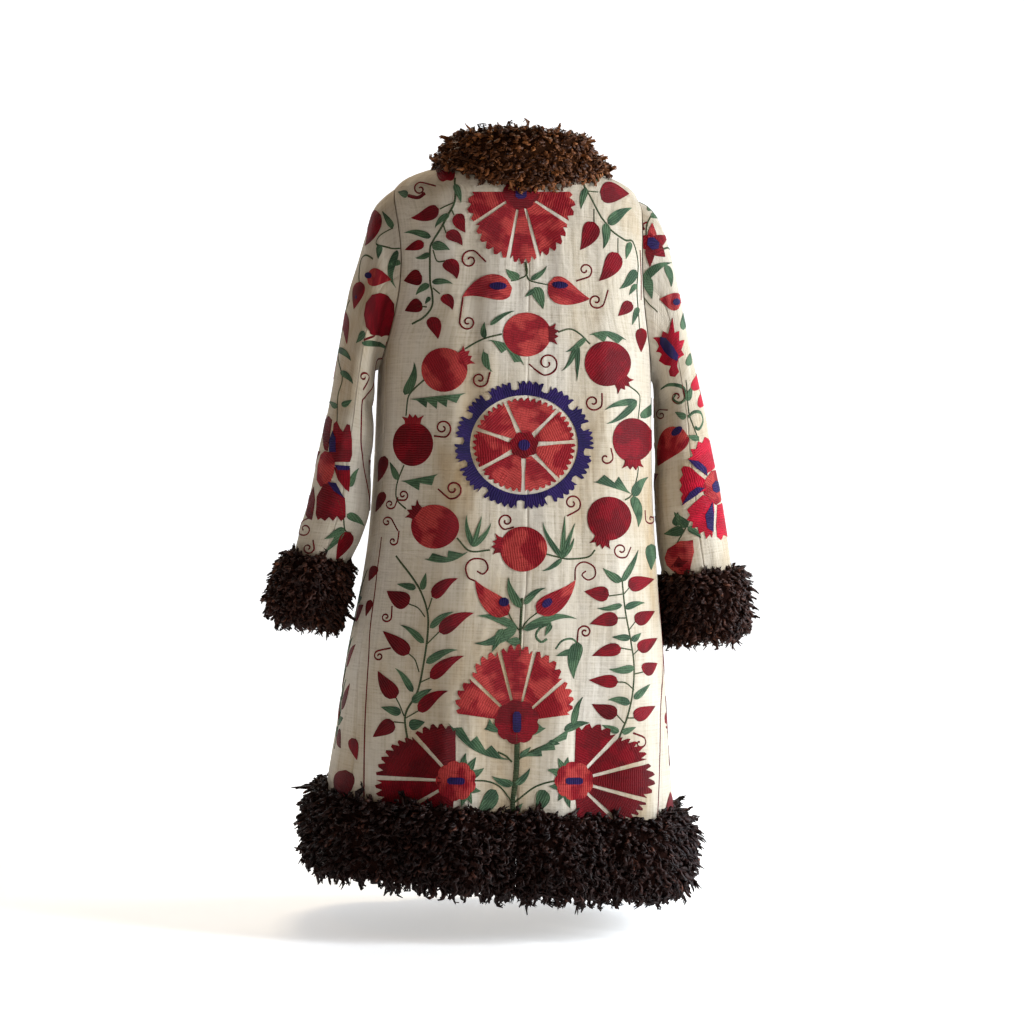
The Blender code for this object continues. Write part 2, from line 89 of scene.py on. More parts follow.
Ring = namedtuple("Ring", "height centre half_width back_depth front_depth squareness")
BODY = (
    Ring(-1060, -3, 266, 184, 174, 2.30),
    Ring(-1000, -3, 262, 180, 170, 2.30),
    Ring(-900, -3, 253, 174, 164, 2.30),
    Ring(-821, -4, 243, 168, 158, 2.30),
    Ring(-716, -6, 231, 160, 150, 2.30),
    Ring(-619, -10, 217, 150, 141, 2.35),
    Ring(-540, -12, 208, 142, 135, 2.40),
    Ring(-465, -11, 203, 136, 130, 2.40),
    Ring(-300, -8, 198, 128, 122, 2.40),
    Ring(-170, -7, 192, 120, 114, 2.40),
    Ring(-107, -5, 190, 112, 103, 2.40),
    Ring(-62, -3, 186, 103, 90, 2.30),
    Ring(-41, -3, 178, 97, 83, 2.20),
    Ring(-31, -4, 171, 93, 79, 2.20),
    Ring(-22, -5, 159, 89, 75, 2.15),
    Ring(-14, -6, 141, 84, 72, 2.10),
    Ring(-6, -6, 118, 78, 68, 2.05),
    Ring(3, -4, 92, 70, 64, 2.00),
    Ring(12, -4, 70, 62, 60, 2.00),
)

# Where the gore seam runs, as its distance behind the side line
GoreSeam = namedtuple("GoreSeam", "height behind")
GORE_SEAM = (
    GoreSeam(-1000, 115),
    GoreSeam(-821, 91),
    GoreSeam(-716, 68),
    GoreSeam(-619, 54),
    GoreSeam(-540, 46),
    GoreSeam(-465, 43),
    GoreSeam(-262, 44),
)

# Largest folds of the skirt: bearing from the centre back, towards the wearer's left
Fold = namedtuple("Fold", "bearing half_angle depth start full")
FOLDS = (
    Fold(-88, 9, -4, -640, -900),
    Fold(-53, 9, 11, -520, -900),
    Fold(-35, 7, -6, -600, -900),
    Fold(-17, 8, 5, -540, -860),
    Fold(6, 7, -4, -620, -900),
    Fold(24, 8, 6, -600, -900),
    Fold(43, 8, -6, -560, -900),
    Fold(62, 9, 6, -540, -900),
    Fold(90, 9, -6, -560, -900),
    Fold(119, 9, 6, -540, -900),
    Fold(140, 8, -6, -600, -900),
    Fold(160, 8, 5, -600, -900),
    Fold(-119, 9, 8, -540, -900),
    Fold(-141, 8, -5, -600, -900),
    Fold(-161, 8, 4, -600, -900),
)

# Soft waves and creases of the body cloth: the middle of each, its reach round the body in
# degrees and up the cloth, how far it drifts round per 100 mm of height, and its depth
Wave = namedtuple("Wave", "bearing height half_angle reach drift depth")
WAVES = (
    Wave(9, -130, 5, 90, 0.5, -1.4),
    Wave(17, -170, 6, 120, -0.8, 1.5),
    Wave(-12, -150, 5, 110, 0.6, -1.2),
    Wave(-22, -110, 5, 80, -1.5, 1.3),
    Wave(35, -180, 6, 110, 2.0, -1.7),
    Wave(-38, -190, 6, 120, -1.6, -1.6),
    Wave(24, -330, 5, 130, 0.8, 1.2),
    Wave(-3, -300, 4, 120, 0.4, -1.0),
    Wave(-26, -330, 6, 130, -0.5, -1.4),
    Wave(41, -380, 6, 120, 1.2, 1.6),
    Wave(-44, -370, 6, 130, 0.8, 1.8),
    Wave(12, -520, 5, 120, -0.4, -1.3),
    Wave(30, -560, 5, 110, 0.6, 1.3),
    Wave(-9, -560, 5, 140, 0.3, 1.2),
    Wave(-30, -540, 5, 120, -0.7, -1.2),
    Wave(50, -640, 5, 130, 0.8, -1.6),
    Wave(-45, -660, 5, 120, 0.9, 1.4),
    Wave(0, -760, 4, 140, 0.3, 1.2),
    Wave(16, -800, 4, 120, -0.5, -1.4),
    Wave(-26, -780, 4, 130, 0.5, -1.5),
    Wave(33, -820, 4, 110, 0.7, 1.4),
    Wave(76, -480, 6, 140, 0.5, -1.6),
    Wave(102, -520, 6, 150, -0.5, 1.6),
    Wave(-78, -500, 6, 140, -0.5, -1.6),
    Wave(-104, -470, 6, 150, 0.5, 1.6),
    Wave(128, -330, 6, 130, 1.2, -1.6),
    Wave(147, -180, 5, 110, -0.8, 1.4),
    Wave(165, -420, 5, 150, 0.4, -1.2),
    Wave(152, -620, 5, 130, -0.5, 1.3),
    Wave(130, -760, 5, 130, 0.6, -1.5),
    Wave(-128, -350, 6, 130, -1.2, -1.6),
    Wave(-148, -200, 5, 110, 0.8, 1.4),
    Wave(-166, -440, 5, 150, -0.4, -1.2),
    Wave(-150, -640, 5, 130, 0.5, 1.3),
    Wave(-131, -780, 5, 130, -0.6, -1.5),
)

# Storage creases that run round the back, from having lain folded: height, depth, middle, reach
Pressed = namedtuple("Pressed", "height depth bearing half_angle")
PRESSED = (
    Pressed(-404, 0.55, 34, 22),
    Pressed(-300, -0.4, -20, 30),
    Pressed(-668, 0.5, -20, 35),
    Pressed(-820, 0.5, -48, 20),
    Pressed(-500, 0.45, 160, 40),
    Pressed(-260, 0.4, -150, 35),
)

# Sleeve sections: outer and inner end of each, its middle and its reach behind and in front
Section = namedtuple("Section", "outer_x outer_z inner_x inner_z middle behind before")
SLEEVE_LEFT = (
    Section(175, -41, 190, -300, 0, 62, 58),
    Section(187, -51, 196, -303, 4, 62, 58),
    Section(203, -70, 196.5, -306, 8, 61, 56),
    Section(214, -108, 197, -310, 12, 60, 54),
    Section(225, -150, 197, -315, 15, 59, 52),
    Section(236.5, -192, 197, -322, 18, 57, 50),
    Section(245, -250, 196.5, -333, 21, 55, 49),
    Section(254, -310, 196.5, -350, 23, 53, 48),
    Section(262, -362, 196.5, -382, 24, 51, 47),
    Section(272, -410, 196.5, -421, 24, 50, 46),
    Section(279, -452, 197.5, -462, 23, 49, 46),
    Section(286, -492, 200.5, -503, 21, 49, 46),
    Section(297, -532, 209, -541, 17, 49, 45),
    Section(304, -568, 226, -582, 12, 46, 44),
    Section(311, -610, 234, -622, 6, 45, 43),
    Section(317, -644, 240, -655, 0, 44, 42),
)
SLEEVE_RIGHT = (
    Section(181, -41, 206, -300, 0, 62, 58),
    Section(192, -46, 211, -303, 2, 62, 58),
    Section(208, -62, 213, -306, 3, 61, 56),
    Section(223, -95, 214, -309, 4, 60, 54),
    Section(236, -140, 215, -313, 4, 59, 53),
    Section(248, -190, 215.5, -318, 4, 58, 52),
    Section(262, -245, 216, -328, 3, 57, 51),
    Section(278, -305, 216.5, -348, 2, 55, 50),
    Section(290, -350, 217, -380, 1, 54, 50),
    Section(300, -396, 218, -418, 0, 53, 50),
    Section(311, -440, 220, -458, -1, 53, 50),
    Section(322, -488, 223.5, -506, -2, 53, 50),
    Section(330, -530, 228.5, -548, -3, 53, 50),
    Section(337, -570, 237, -590, -4, 51, 48),
    Section(342, -618, 242, -633, -5, 49, 46),
    Section(346, -652, 246, -664, -6, 48, 45),
)
# How far each sleeve section still follows the armhole
HOLE_PULL = (1.0, 0.72, 0.46, 0.26, 0.12, 0.04)

# Creases of the sleeves: place along the sections, bearing round the sleeve from its outer line
# over the back, reach each way, depth, and how the crease leans round per section
Crease = namedtuple("Crease", "along bearing reach half_angle depth lean")
CREASES_LEFT = (
    Crease(7.2, 150, 0.5, 40, -5, 0),
    Crease(8.3, 100, 0.6, 50, 3, 0),
    Crease(9.4, 160, 0.5, 45, -4, 0),
    Crease(11.0, 130, 0.6, 45, 4, 0),
    Crease(12.3, 80, 0.5, 60, -4, 0),
    Crease(8.6, 250, 0.6, 45, -4, 0),
    Crease(10.6, 270, 0.6, 45, -3, 0),
    Crease(3.0, 60, 1.0, 14, -1.5, 6),
    Crease(4.6, 95, 1.2, 13, 1.4, -8),
    Crease(5.6, 60, 0.5, 25, -1.6, 12),
    Crease(7.8, 70, 0.35, 30, -1.5, 10),
    Crease(10.1, 95, 0.3, 35, -1.3, -8),
    Crease(11.7, 110, 0.3, 35, -1.2, 8),
    Crease(13.1, 60, 0.8, 12, 1.2, 4),
    Crease(13.2, 90, 0.8, 11, -1.1, -3),
    Crease(13.2, 120, 0.8, 12, 1.1, 2),
    Crease(13.0, 240, 0.8, 14, -1.2, 0),
    Crease(6.2, 300, 0.9, 16, -1.5, 5),
    Crease(11.5, 310, 0.5, 30, 1.3, 0),
)
CREASES_RIGHT = (
    Crease(6.6, 130, 0.6, 40, -4, 0),
    Crease(8.0, 80, 0.6, 50, 3, 0),
    Crease(9.2, 150, 0.5, 45, -4, 0),
    Crease(11.4, 110, 0.6, 50, -3, 0),
    Crease(8.6, 240, 0.6, 45, -4, 0),
    Crease(10.8, 270, 0.6, 45, -3, 0),
    Crease(3.2, 100, 1.1, 14, -1.5, -6),
    Crease(4.4, 60, 1.2, 13, 1.4, 8),
    Crease(5.8, 90, 0.5, 25, -1.6, -12),
    Crease(7.4, 60, 0.35, 30, -1.5, -10),
    Crease(9.9, 70, 0.3, 35, -1.4, 8),
    Crease(10.7, 120, 0.3, 35, 1.3, -8),
    Crease(12.9, 50, 0.8, 12, 1.2, 3),
    Crease(13.1, 80, 0.8, 11, -1.2, -2),
    Crease(13.0, 112, 0.8, 12, 1.1, 3),
    Crease(13.0, 250, 0.8, 14, -1.2, 0),
    Crease(6.0, 310, 0.9, 16, -1.5, -5),
    Crease(11.8, 320, 0.5, 30, 1.3, 0),
)

# Fur bands: section points as distance down the cloth and distance off it
Pile = namedtuple("Pile", "down off")
HEM_FUR_TOP = -916.0
HEM_PILE = (
    Pile(0, FUR_SEAT_GAP), Pile(-4, 10), Pile(0, 22), Pile(15, 30), Pile(38, 33), Pile(61, 33),
    Pile(81, 28), Pile(97, 17), Pile(103, 2), Pile(96, -12), Pile(73, -12), Pile(61, -6),
    Pile(60, FUR_SEAT_GAP), Pile(40, FUR_SEAT_GAP), Pile(20, FUR_SEAT_GAP),
)
CUFF_PILE = (
    Pile(0, CUFF_SEAT_GAP), Pile(-6, 9), Pile(0, 18), Pile(16, 24), Pile(42, 26), Pile(66, 24),
    Pile(86, 15), Pile(92, 2), Pile(86, -9), Pile(79, -7), Pile(77, CUFF_SEAT_GAP),
    Pile(51, CUFF_SEAT_GAP), Pile(26, CUFF_SEAT_GAP),
)
CUFF_CLOTH = 74.0
CUFF_PILE_SIDE = 0.80
CUFF_PILE_SHIFT = 0.42
FUR_LUMP = 2.6

# Collar section: rise above the neck edge and distance out from it, then its seat on the cloth
Roll = namedtuple("Roll", "rise out")
COLLAR_ROLL = (
    Roll(14, -3), Roll(34, -2), Roll(48, 7), Roll(53, 20), Roll(45, 34), Roll(26, 43), Roll(4, 46),
)
COLLAR_SEAT_SHARES = (1.0, 0.75, 0.5, 0.25, 0.0)
COLLAR_SEAT_BACK = 40.0
COLLAR_SEAT_SIDE = 17.0
COLLAR_SEAT_FRONT = 34.0
COLLAR_FALL_AT = (0.0, 0.5, 1.0, 2.0)
COLLAR_FALL = (1.0, 0.86, 0.56, 0.62)
COLLAR_GAP = 6.0

# How much deeper the soft waves of the cloth are than the depths given above
WAVE_FULLNESS = 2.0


def slopes(at, values):
    """Slopes of a smooth curve through the values, with no overshoot between them."""
    step = np.diff(at)
    rise = np.diff(values) / step
    result = np.empty(len(values))
    result[0] = rise[0]
    result[-1] = rise[-1]
    for k in range(1, len(values) - 1):
        before, after = rise[k - 1], rise[k]
        if before * after <= 0.0:
            result[k] = 0.0
        else:
            first = 2.0 * step[k] + step[k - 1]
            second = step[k] + 2.0 * step[k - 1]
            result[k] = (first + second) / (first / before + second / after)
    return result


def smooth(at, values, where):
    """Value of the smooth curve at one or many places."""
    at = np.asarray(at, dtype=float)
    values = np.asarray(values, dtype=float)
    where = np.asarray(where, dtype=float)
    slope = slopes(at, values)
    k = np.clip(np.searchsorted(at, where) - 1, 0, len(at) - 2)
    step = at[k + 1] - at[k]
    t = (where - at[k]) / step
    first = (1 + 2 * t) * (1 - t) ** 2 * values[k] + t * (1 - t) ** 2 * step * slope[k]
    second = t * t * (3 - 2 * t) * values[k + 1] + t * t * (t - 1) * step * slope[k + 1]
    return first + second


def column(table, name):
    return [getattr(row, name) for row in table]


def ease(t):
    """A soft step from 0 to 1."""
    t = np.clip(t, 0.0, 1.0)
    return t * t * (3.0 - 2.0 * t)


def unit(vectors):
    return vectors / np.maximum(np.linalg.norm(vectors, axis=-1, keepdims=True), 1e-12)


def off_bearing(angle, bearing):
    """Degrees from a bearing, from -180 to 180."""
    return (np.degrees(angle) - bearing + 180.0) % 360.0 - 180.0


def fold_depth(angle, height):
    """How far the skirt's folds stand out at a bearing and height."""
    total = np.zeros(np.broadcast(angle, height).shape)
    for fold in FOLDS:
        turn = off_bearing(angle, fold.bearing)
        grown = ease((fold.start - height) / (fold.start - fold.full))
        total = total + fold.depth * grown * np.exp(-(turn / fold.half_angle) ** 2)
    return total


def wave_depth(angle, height):
    """The small waves, pressed lines and slack of the cloth between the large folds."""
    total = np.zeros(np.broadcast(angle, height).shape)
    for wave in WAVES:
        rise = height - wave.height
        turn = off_bearing(angle, wave.bearing + 0.01 * wave.drift * rise)
        total = total + wave.depth * np.exp(-(turn / wave.half_angle) ** 2 - (rise / wave.reach) ** 2)
    for line in PRESSED:
        turn = off_bearing(angle, line.bearing)
        bend = height - line.height - 3.0 * np.sin(np.radians(turn) * 5.0)
        total = total + line.depth * np.exp(-(turn / line.half_angle) ** 2 - (bend / 3.5) ** 2)
    return total


def ring_at(height):
    heights = column(BODY, "height")
    return [smooth(heights, column(BODY, name), height) for name in Ring._fields[1:]]


def body(angle, height):
    """Point on the coat's outer surface; the angle runs from the centre back to the wearer's left."""
    angle = np.asarray(angle, dtype=float)
    height = np.asarray(height, dtype=float)
    centre, half_width, back, front, power = ring_at(height)
    depth = np.where(np.cos(angle) >= 0.0, back, front)
    across = (np.abs(np.sin(angle)) / half_width) ** power
    along = (np.abs(np.cos(angle)) / depth) ** power
    radius = (across + along) ** (-1.0 / power) + fold_depth(angle, height)
    tilt = HEM_TILT * np.sin(angle) * ease((HEM_TILT_TOP - height) / (HEM_TILT_TOP - HEM))
    return np.stack([centre + radius * np.sin(angle), radius * np.cos(angle), height + tilt], axis=-1)


def body_normal(angle, height):
    turn, lift = 0.004, 0.5
    around = body(angle + turn, height) - body(angle - turn, height)
    up = body(angle, height + lift) - body(angle, height - lift)
    return unit(np.cross(up, around))


def draped(angle, height):
    """Point on the cloth with its small waves, which die out towards the armholes and the neck."""
    calm = ease((-60.0 - height) / 60.0)
    depth = WAVE_FULLNESS * wave_depth(angle, height) * calm
    return body(angle, height) + depth[..., None] * body_normal(angle, height)


def hole_height(turn):
    """Height on the armhole; turn is 0 at its top and grows over the back."""
    middle = 0.5 * (HOLE_TOP + HOLE_BOTTOM)
    return middle + 0.5 * (HOLE_TOP - HOLE_BOTTOM) * np.cos(turn)


def side_angle(behind, height, face):
    """Bearing of the surface point that lies so far behind (face 1) or before (face -1) the side."""
    _, half_width, back, front, power = ring_at(height)
    depth = back if face > 0 else front
    across = half_width * (1.0 - (behind / depth) ** power) ** (1.0 / power)
    return math.atan2(across, face * behind)


def hole_angle(turn):
    """Bearing of a point on the left armhole."""
    face = 1 if math.sin(turn) >= 0.0 else -1
    share = 1.0 if face > 0 else FRONT_SHARE
    return side_angle(HOLE_BACK * share * abs(math.sin(turn)), hole_height(turn), face)


HOLE_TURN = 2.0 * math.pi / HOLE_STEPS
GORE_CORNER = math.pi - HOLE_TURN * GORE_STEPS / 2


def gore_seam_angle(height, face):
    """Bearing of the seam between a panel and its gore, on the wearer's left."""
    behind = smooth(column(GORE_SEAM, "height"), column(GORE_SEAM, "behind"), height)
    return side_angle(behind * (1.0 if face > 0 else FRONT_SHARE), height, face)


def edge_rows(face):
    """Heights and bearings of a panel's outer edge: gore seam, armhole, shoulder seam."""
    corner = hole_height(GORE_CORNER)
    rows = []
    for k in range(SKIRT_ROWS):
        height = HEM + (corner - HEM) * k / SKIRT_ROWS
        rows.append((height, gore_seam_angle(height, face)))
    for k in range(HOLE_STEPS // 2 - GORE_STEPS // 2 + 1):
        turn = GORE_CORNER - k * HOLE_TURN
        rows.append((hole_height(turn), hole_angle(face * turn)))
    for k in range(1, SHOULDER_ROWS + 1):
        rows.append((HOLE_TOP + (NECK_SIDE - HOLE_TOP) * k / SHOULDER_ROWS, math.pi / 2))
    return rows


def middle_heights(rows, top, start):
    """Heights of the same rows at the centre line, which ends at the neck edge."""
    result = []
    for k, (height, _) in enumerate(rows):
        if k <= start:
            result.append(height)
        else:
            result.append(rows[start][0] + (top - rows[start][0]) * (k - start) / (len(rows) - 1 - start))
    return result


def neck_rise(share, face):
    """Rise of the neck edge from the centre line (0) to the shoulder seam (1)."""
    return 1.0 - (1.0 - share ** 2) ** (NECK_ROUND_BACK if face > 0 else NECK_ROUND_FRONT)


def seam_shares(steps):
    """Even steps across a piece, with a narrow one along each sewn edge."""
    return np.concatenate([[0.0, 0.35 / steps], np.arange(1, steps) / steps, [1.0 - 0.35 / steps, 1.0]])


def panel_grid(side, face):
    """Outer points and normals of one back (face 1) or front (face -1) panel."""
    rows = edge_rows(face)
    if face > 0:
        start = len(rows) - 1 - SHOULDER_ROWS
        middle = middle_heights(rows, NECK_BACK, start)
    else:
        middle = middle_heights(rows, NECK_FRONT, SKIRT_ROWS)
    share = seam_shares(PANEL_COLUMNS)[:, None]
    edge_height = np.array([row[0] for row in rows])[None, :]
    edge_angle = np.array([row[1] for row in rows])[None, :]
    middle = np.array(middle)[None, :]
    height = middle + (edge_height - middle) * neck_rise(share, face)
    if face > 0:
        angle = side * share * edge_angle
    else:
        depth = smooth(column(BODY, "height"), column(BODY, "front_depth"), middle)
        start_angle = math.pi - 0.5 * FRONT_PARTING / depth
        angle = side * (start_angle + share * (edge_angle - start_angle))
    return draped(angle, height), body_normal(angle, height)


def gore_grid(side):
    """Outer points and normals of one side gore, whose top is the armhole's lower arc."""
    back_rows = edge_rows(1)[:SKIRT_ROWS + 1]
    front_rows = edge_rows(-1)[:SKIRT_ROWS + 1]
    share = seam_shares(GORE_STEPS)
    turns = [GORE_CORNER + k * HOLE_TURN * GORE_STEPS for k in share]
    share = share[:, None]
    top_height = np.array([hole_height(turn) for turn in turns])[:, None]
    top_angle = np.array([hole_angle(turn) for turn in turns])[:, None]
    height = np.array([row[0] for row in back_rows])[None, :]
    back = np.array([row[1] for row in back_rows])[None, :]
    front = np.array([row[1] for row in front_rows])[None, :]
    pull = (np.arange(SKIRT_ROWS + 1)[None, :] / SKIRT_ROWS) ** 4
    angle = back + (front - back) * share
    angle = angle + (top_angle - angle[:, -1:]) * pull
    height = height + (top_height - top_height[0, 0]) * pull
    return draped(side * angle, height), body_normal(side * angle, height)


def sleeve_rings(side, turns, places):
    """Closed rings of a sleeve's outer surface at places along its table of sections."""
    table = SLEEVE_LEFT if side > 0 else SLEEVE_RIGHT
    creases = CREASES_LEFT if side > 0 else CREASES_RIGHT
    hole_h = np.array([hole_height(turn) for turn in turns])
    hole_a = side * np.array([hole_angle(turn) for turn in turns])
    hole = body(hole_a, hole_h) + FUR_SEAT_GAP * body_normal(hole_a, hole_h)
    index = np.arange(len(table))
    at = {name: smooth(index, column(table, name), places) for name in Section._fields}

    def flat_rings(values):
        outer = np.stack([side * values["outer_x"], values["middle"], values["outer_z"]], axis=-1)
        inner = np.stack([side * values["inner_x"], values["middle"], values["inner_z"]], axis=-1)
        centre = 0.5 * (outer + inner)[:, None, :]
        half = 0.5 * (outer - inner)[:, None, :]
        depth = np.where(np.sin(turns)[None, :] >= 0.0, values["behind"][:, None], values["before"][:, None])
        rings = centre + half * np.cos(turns)[None, :, None]
        rings[:, :, 1] += depth * np.sin(turns)[None, :]
        return rings

    rings = flat_rings(at)
    first = {name: np.array([float(getattr(table[0], name))]) for name in Section._fields}
    pull = smooth(np.arange(len(HOLE_PULL) + 2), HOLE_PULL + (0.0, 0.0), np.minimum(places, len(HOLE_PULL)))
    rings = rings + pull[:, None, None] * (hole[None] - flat_rings(first))
    depth = np.zeros((len(places), len(turns)))
    for crease in creases:
        past = (places - crease.along)[:, None]
        turn = (np.degrees(turns)[None, :] - crease.bearing - crease.lean * past + 180.0) % 360.0 - 180.0
        depth += crease.depth * np.exp(-(past / crease.reach) ** 2 - (turn / crease.half_angle) ** 2)
    return rings + depth[:, :, None] * ring_normals(rings, side)


def ring_normals(rings, side):
    """Outward normals of closed rings."""
    around = np.roll(rings, -1, axis=1) - np.roll(rings, 1, axis=1)
    along = np.gradient(rings, axis=0)
    return unit(side * np.cross(along, around))


def cell(mesh_builder, columns, rows, point, back=None):
    """A grid sheet laid on given points; with a back it is a closed wall between the two."""
    bmesh.ops.create_grid(mesh_builder, x_segments=columns, y_segments=rows, size=0.5)
    if back is not None:
        walled = bmesh.ops.extrude_face_region(mesh_builder, geom=mesh_builder.faces[:], use_keep_orig=True)
        for item in walled["geom"]:
            if isinstance(item, bmesh.types.BMVert):
                item.co.z = -1.0
    weave = mesh_builder.loops.layers.uv.new("Cloth")
    places = {}
    for vert in mesh_builder.verts:
        i = round((vert.co.x + 0.5) * columns)
        j = round((vert.co.y + 0.5) * rows)
        places[vert] = (i, j)
        source = back if vert.co.z < -0.5 else point
        vert.co = Vector(source[i, j]) * MM
    width = np.concatenate([[0.0], np.cumsum(np.linalg.norm(np.diff(point[:, rows // 3], axis=0), axis=-1))])
    length = np.concatenate([[0.0], np.cumsum(np.linalg.norm(np.diff(point[columns // 2], axis=0), axis=-1))])
    for face in mesh_builder.faces:
        for loop in face.loops:
            i, j = places[loop.vert]
            loop[weave].uv = (width[i] * MM, length[j] * MM)


def finish_piece(name, mesh_builder, materials, node=None, sharp=50.0):
    """Make the built mesh an object that rides with the coat."""
    mesh_builder.normal_update()
    mesh = bpy.data.meshes.new(name)
    mesh_builder.to_mesh(mesh)
    mesh_builder.free()
    mesh.shade_smooth()
    mesh.set_sharp_from_angle(angle=math.radians(sharp))
    for material in materials:
        mesh.materials.append(material)
    piece = bpy.data.objects.new(name, mesh)
    bpy.context.scene.collection.objects.link(piece)
    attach(piece, "root")
    if node:
        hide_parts(node)
    return piece


def sewn(points, normals, sides):
    """Draw the named edges back by half the seam gap and dip them into the seam."""
    points = points.copy()
    ends = {
        "first_column": (points[0], points[2], normals[0]),
        "last_column": (points[-1], points[-3], normals[-1]),
        "last_row": (points[:, -1], points[:, -2], normals[:, -1]),
    }
    for name in sides:
        edge, inner, normal = ends[name]
        edge += 0.5 * SEAM_GAP * unit(inner - edge) - SEAM_DIP * normal
    return points


def cloth_wall(name, points, normals, sides, material):
    """One cut piece of the coat: a thin wall whose outer face lies on its solid's outer face."""
    outer = sewn(points, normals, sides)
    inner = points - WALL * normals
    for name_of_side in sides:
        if name_of_side == "first_column":
            inner[0] += 0.5 * SEAM_GAP * unit(points[2] - points[0])
        elif name_of_side == "last_column":
            inner[-1] += 0.5 * SEAM_GAP * unit(points[-3] - points[-1])
    mesh_builder = bmesh.new()
    cell(mesh_builder, points.shape[0] - 1, points.shape[1] - 1, outer, inner)
    bmesh.ops.recalc_face_normals(mesh_builder, faces=mesh_builder.faces[:])
    return finish_piece(name + "_cloth", mesh_builder, [material], name)


def link(tree, out_socket, in_socket):
    tree.links.new(out_socket, in_socket)


def new_material(name):
    material = bpy.data.materials.new(name)
    material.use_nodes = True
    tree = material.node_tree
    shader = tree.nodes["Principled BSDF"]
    return material, tree, shader


def add(tree, kind, **settings):
    node = tree.nodes.new(kind)
    for key, value in settings.items():
        setattr(node, key, value)
    return node


def mapped(tree, source, scale, turn=0.0):
    """A pattern's coordinates: the given output, scaled and turned."""
    mapping = add(tree, "ShaderNodeMapping")
    mapping.inputs["Scale"].default_value = scale
    mapping.inputs["Rotation"].default_value = (0.0, 0.0, turn)
    link(tree, source, mapping.inputs["Vector"])
    return mapping.outputs["Vector"]


def speckle(tree, vector, scale, detail=3.0, roughness=0.55):
    node = add(tree, "ShaderNodeTexNoise")
    node.inputs["Scale"].default_value = scale
    node.inputs["Detail"].default_value = detail
    node.inputs["Roughness"].default_value = roughness
    link(tree, vector, node.inputs["Vector"])
    return node.outputs["Fac"]


def ribs(tree, vector, scale, across="X", distortion=0.0):
    node = add(tree, "ShaderNodeTexWave", wave_type="BANDS", bands_direction=across, wave_profile="SIN")
    node.inputs["Scale"].default_value = scale
    node.inputs["Distortion"].default_value = distortion
    node.inputs["Detail"].default_value = 1.0
    node.inputs["Detail Scale"].default_value = 1.5
    link(tree, vector, node.inputs["Vector"])
    return node.outputs["Fac"]


def ramp(tree, fac, stops):
    node = add(tree, "ShaderNodeValToRGB")
    bar = node.color_ramp
    bar.elements[0].position, bar.elements[0].color = stops[0][0], stops[0][1] + (1.0,)
    bar.elements[1].position, bar.elements[1].color = stops[-1][0], stops[-1][1] + (1.0,)
    for place, colour in stops[1:-1]:
        bar.elements.new(place).color = colour + (1.0,)
    link(tree, fac, node.inputs["Fac"])
    return node.outputs["Color"]


def blend_colours(tree, fac, first, second, kind="MIX"):
    node = add(tree, "ShaderNodeMix", data_type="RGBA", blend_type=kind)
    for value, socket in ((fac, node.inputs[0]), (first, node.inputs[6]), (second, node.inputs[7])):
        if isinstance(value, (float, tuple)):
            socket.default_value = value + (1.0,) if isinstance(value, tuple) else value
        else:
            link(tree, value, socket)
    return node.outputs[2]


def total(tree, first, second, first_share=1.0, second_share=1.0):
    """Two heights added with a share of each."""
    one = add(tree, "ShaderNodeMath", operation="MULTIPLY")
    link(tree, first, one.inputs[0])
    one.inputs[1].default_value = first_share
    both = add(tree, "ShaderNodeMath", operation="MULTIPLY_ADD")
    link(tree, second, both.inputs[0])
    both.inputs[1].default_value = second_share
    link(tree, one.outputs[0], both.inputs[2])
    return both.outputs[0]


def raised(tree, shader, height, strength, distance):
    node = add(tree, "ShaderNodeBump")
    node.inputs["Strength"].default_value = strength
    node.inputs["Distance"].default_value = distance
    link(tree, height, node.inputs["Height"])
    link(tree, node.outputs["Normal"], shader.inputs["Normal"])


# Threads of the cloth, ties of the needlework and its laid strands, as lines to a metre in the
# scale of the stripe texture
WARP_LINES = 330.0
WEFT_LINES = 300.0
TIE_LINES = 95.0
STRAND_LINES = 290.0


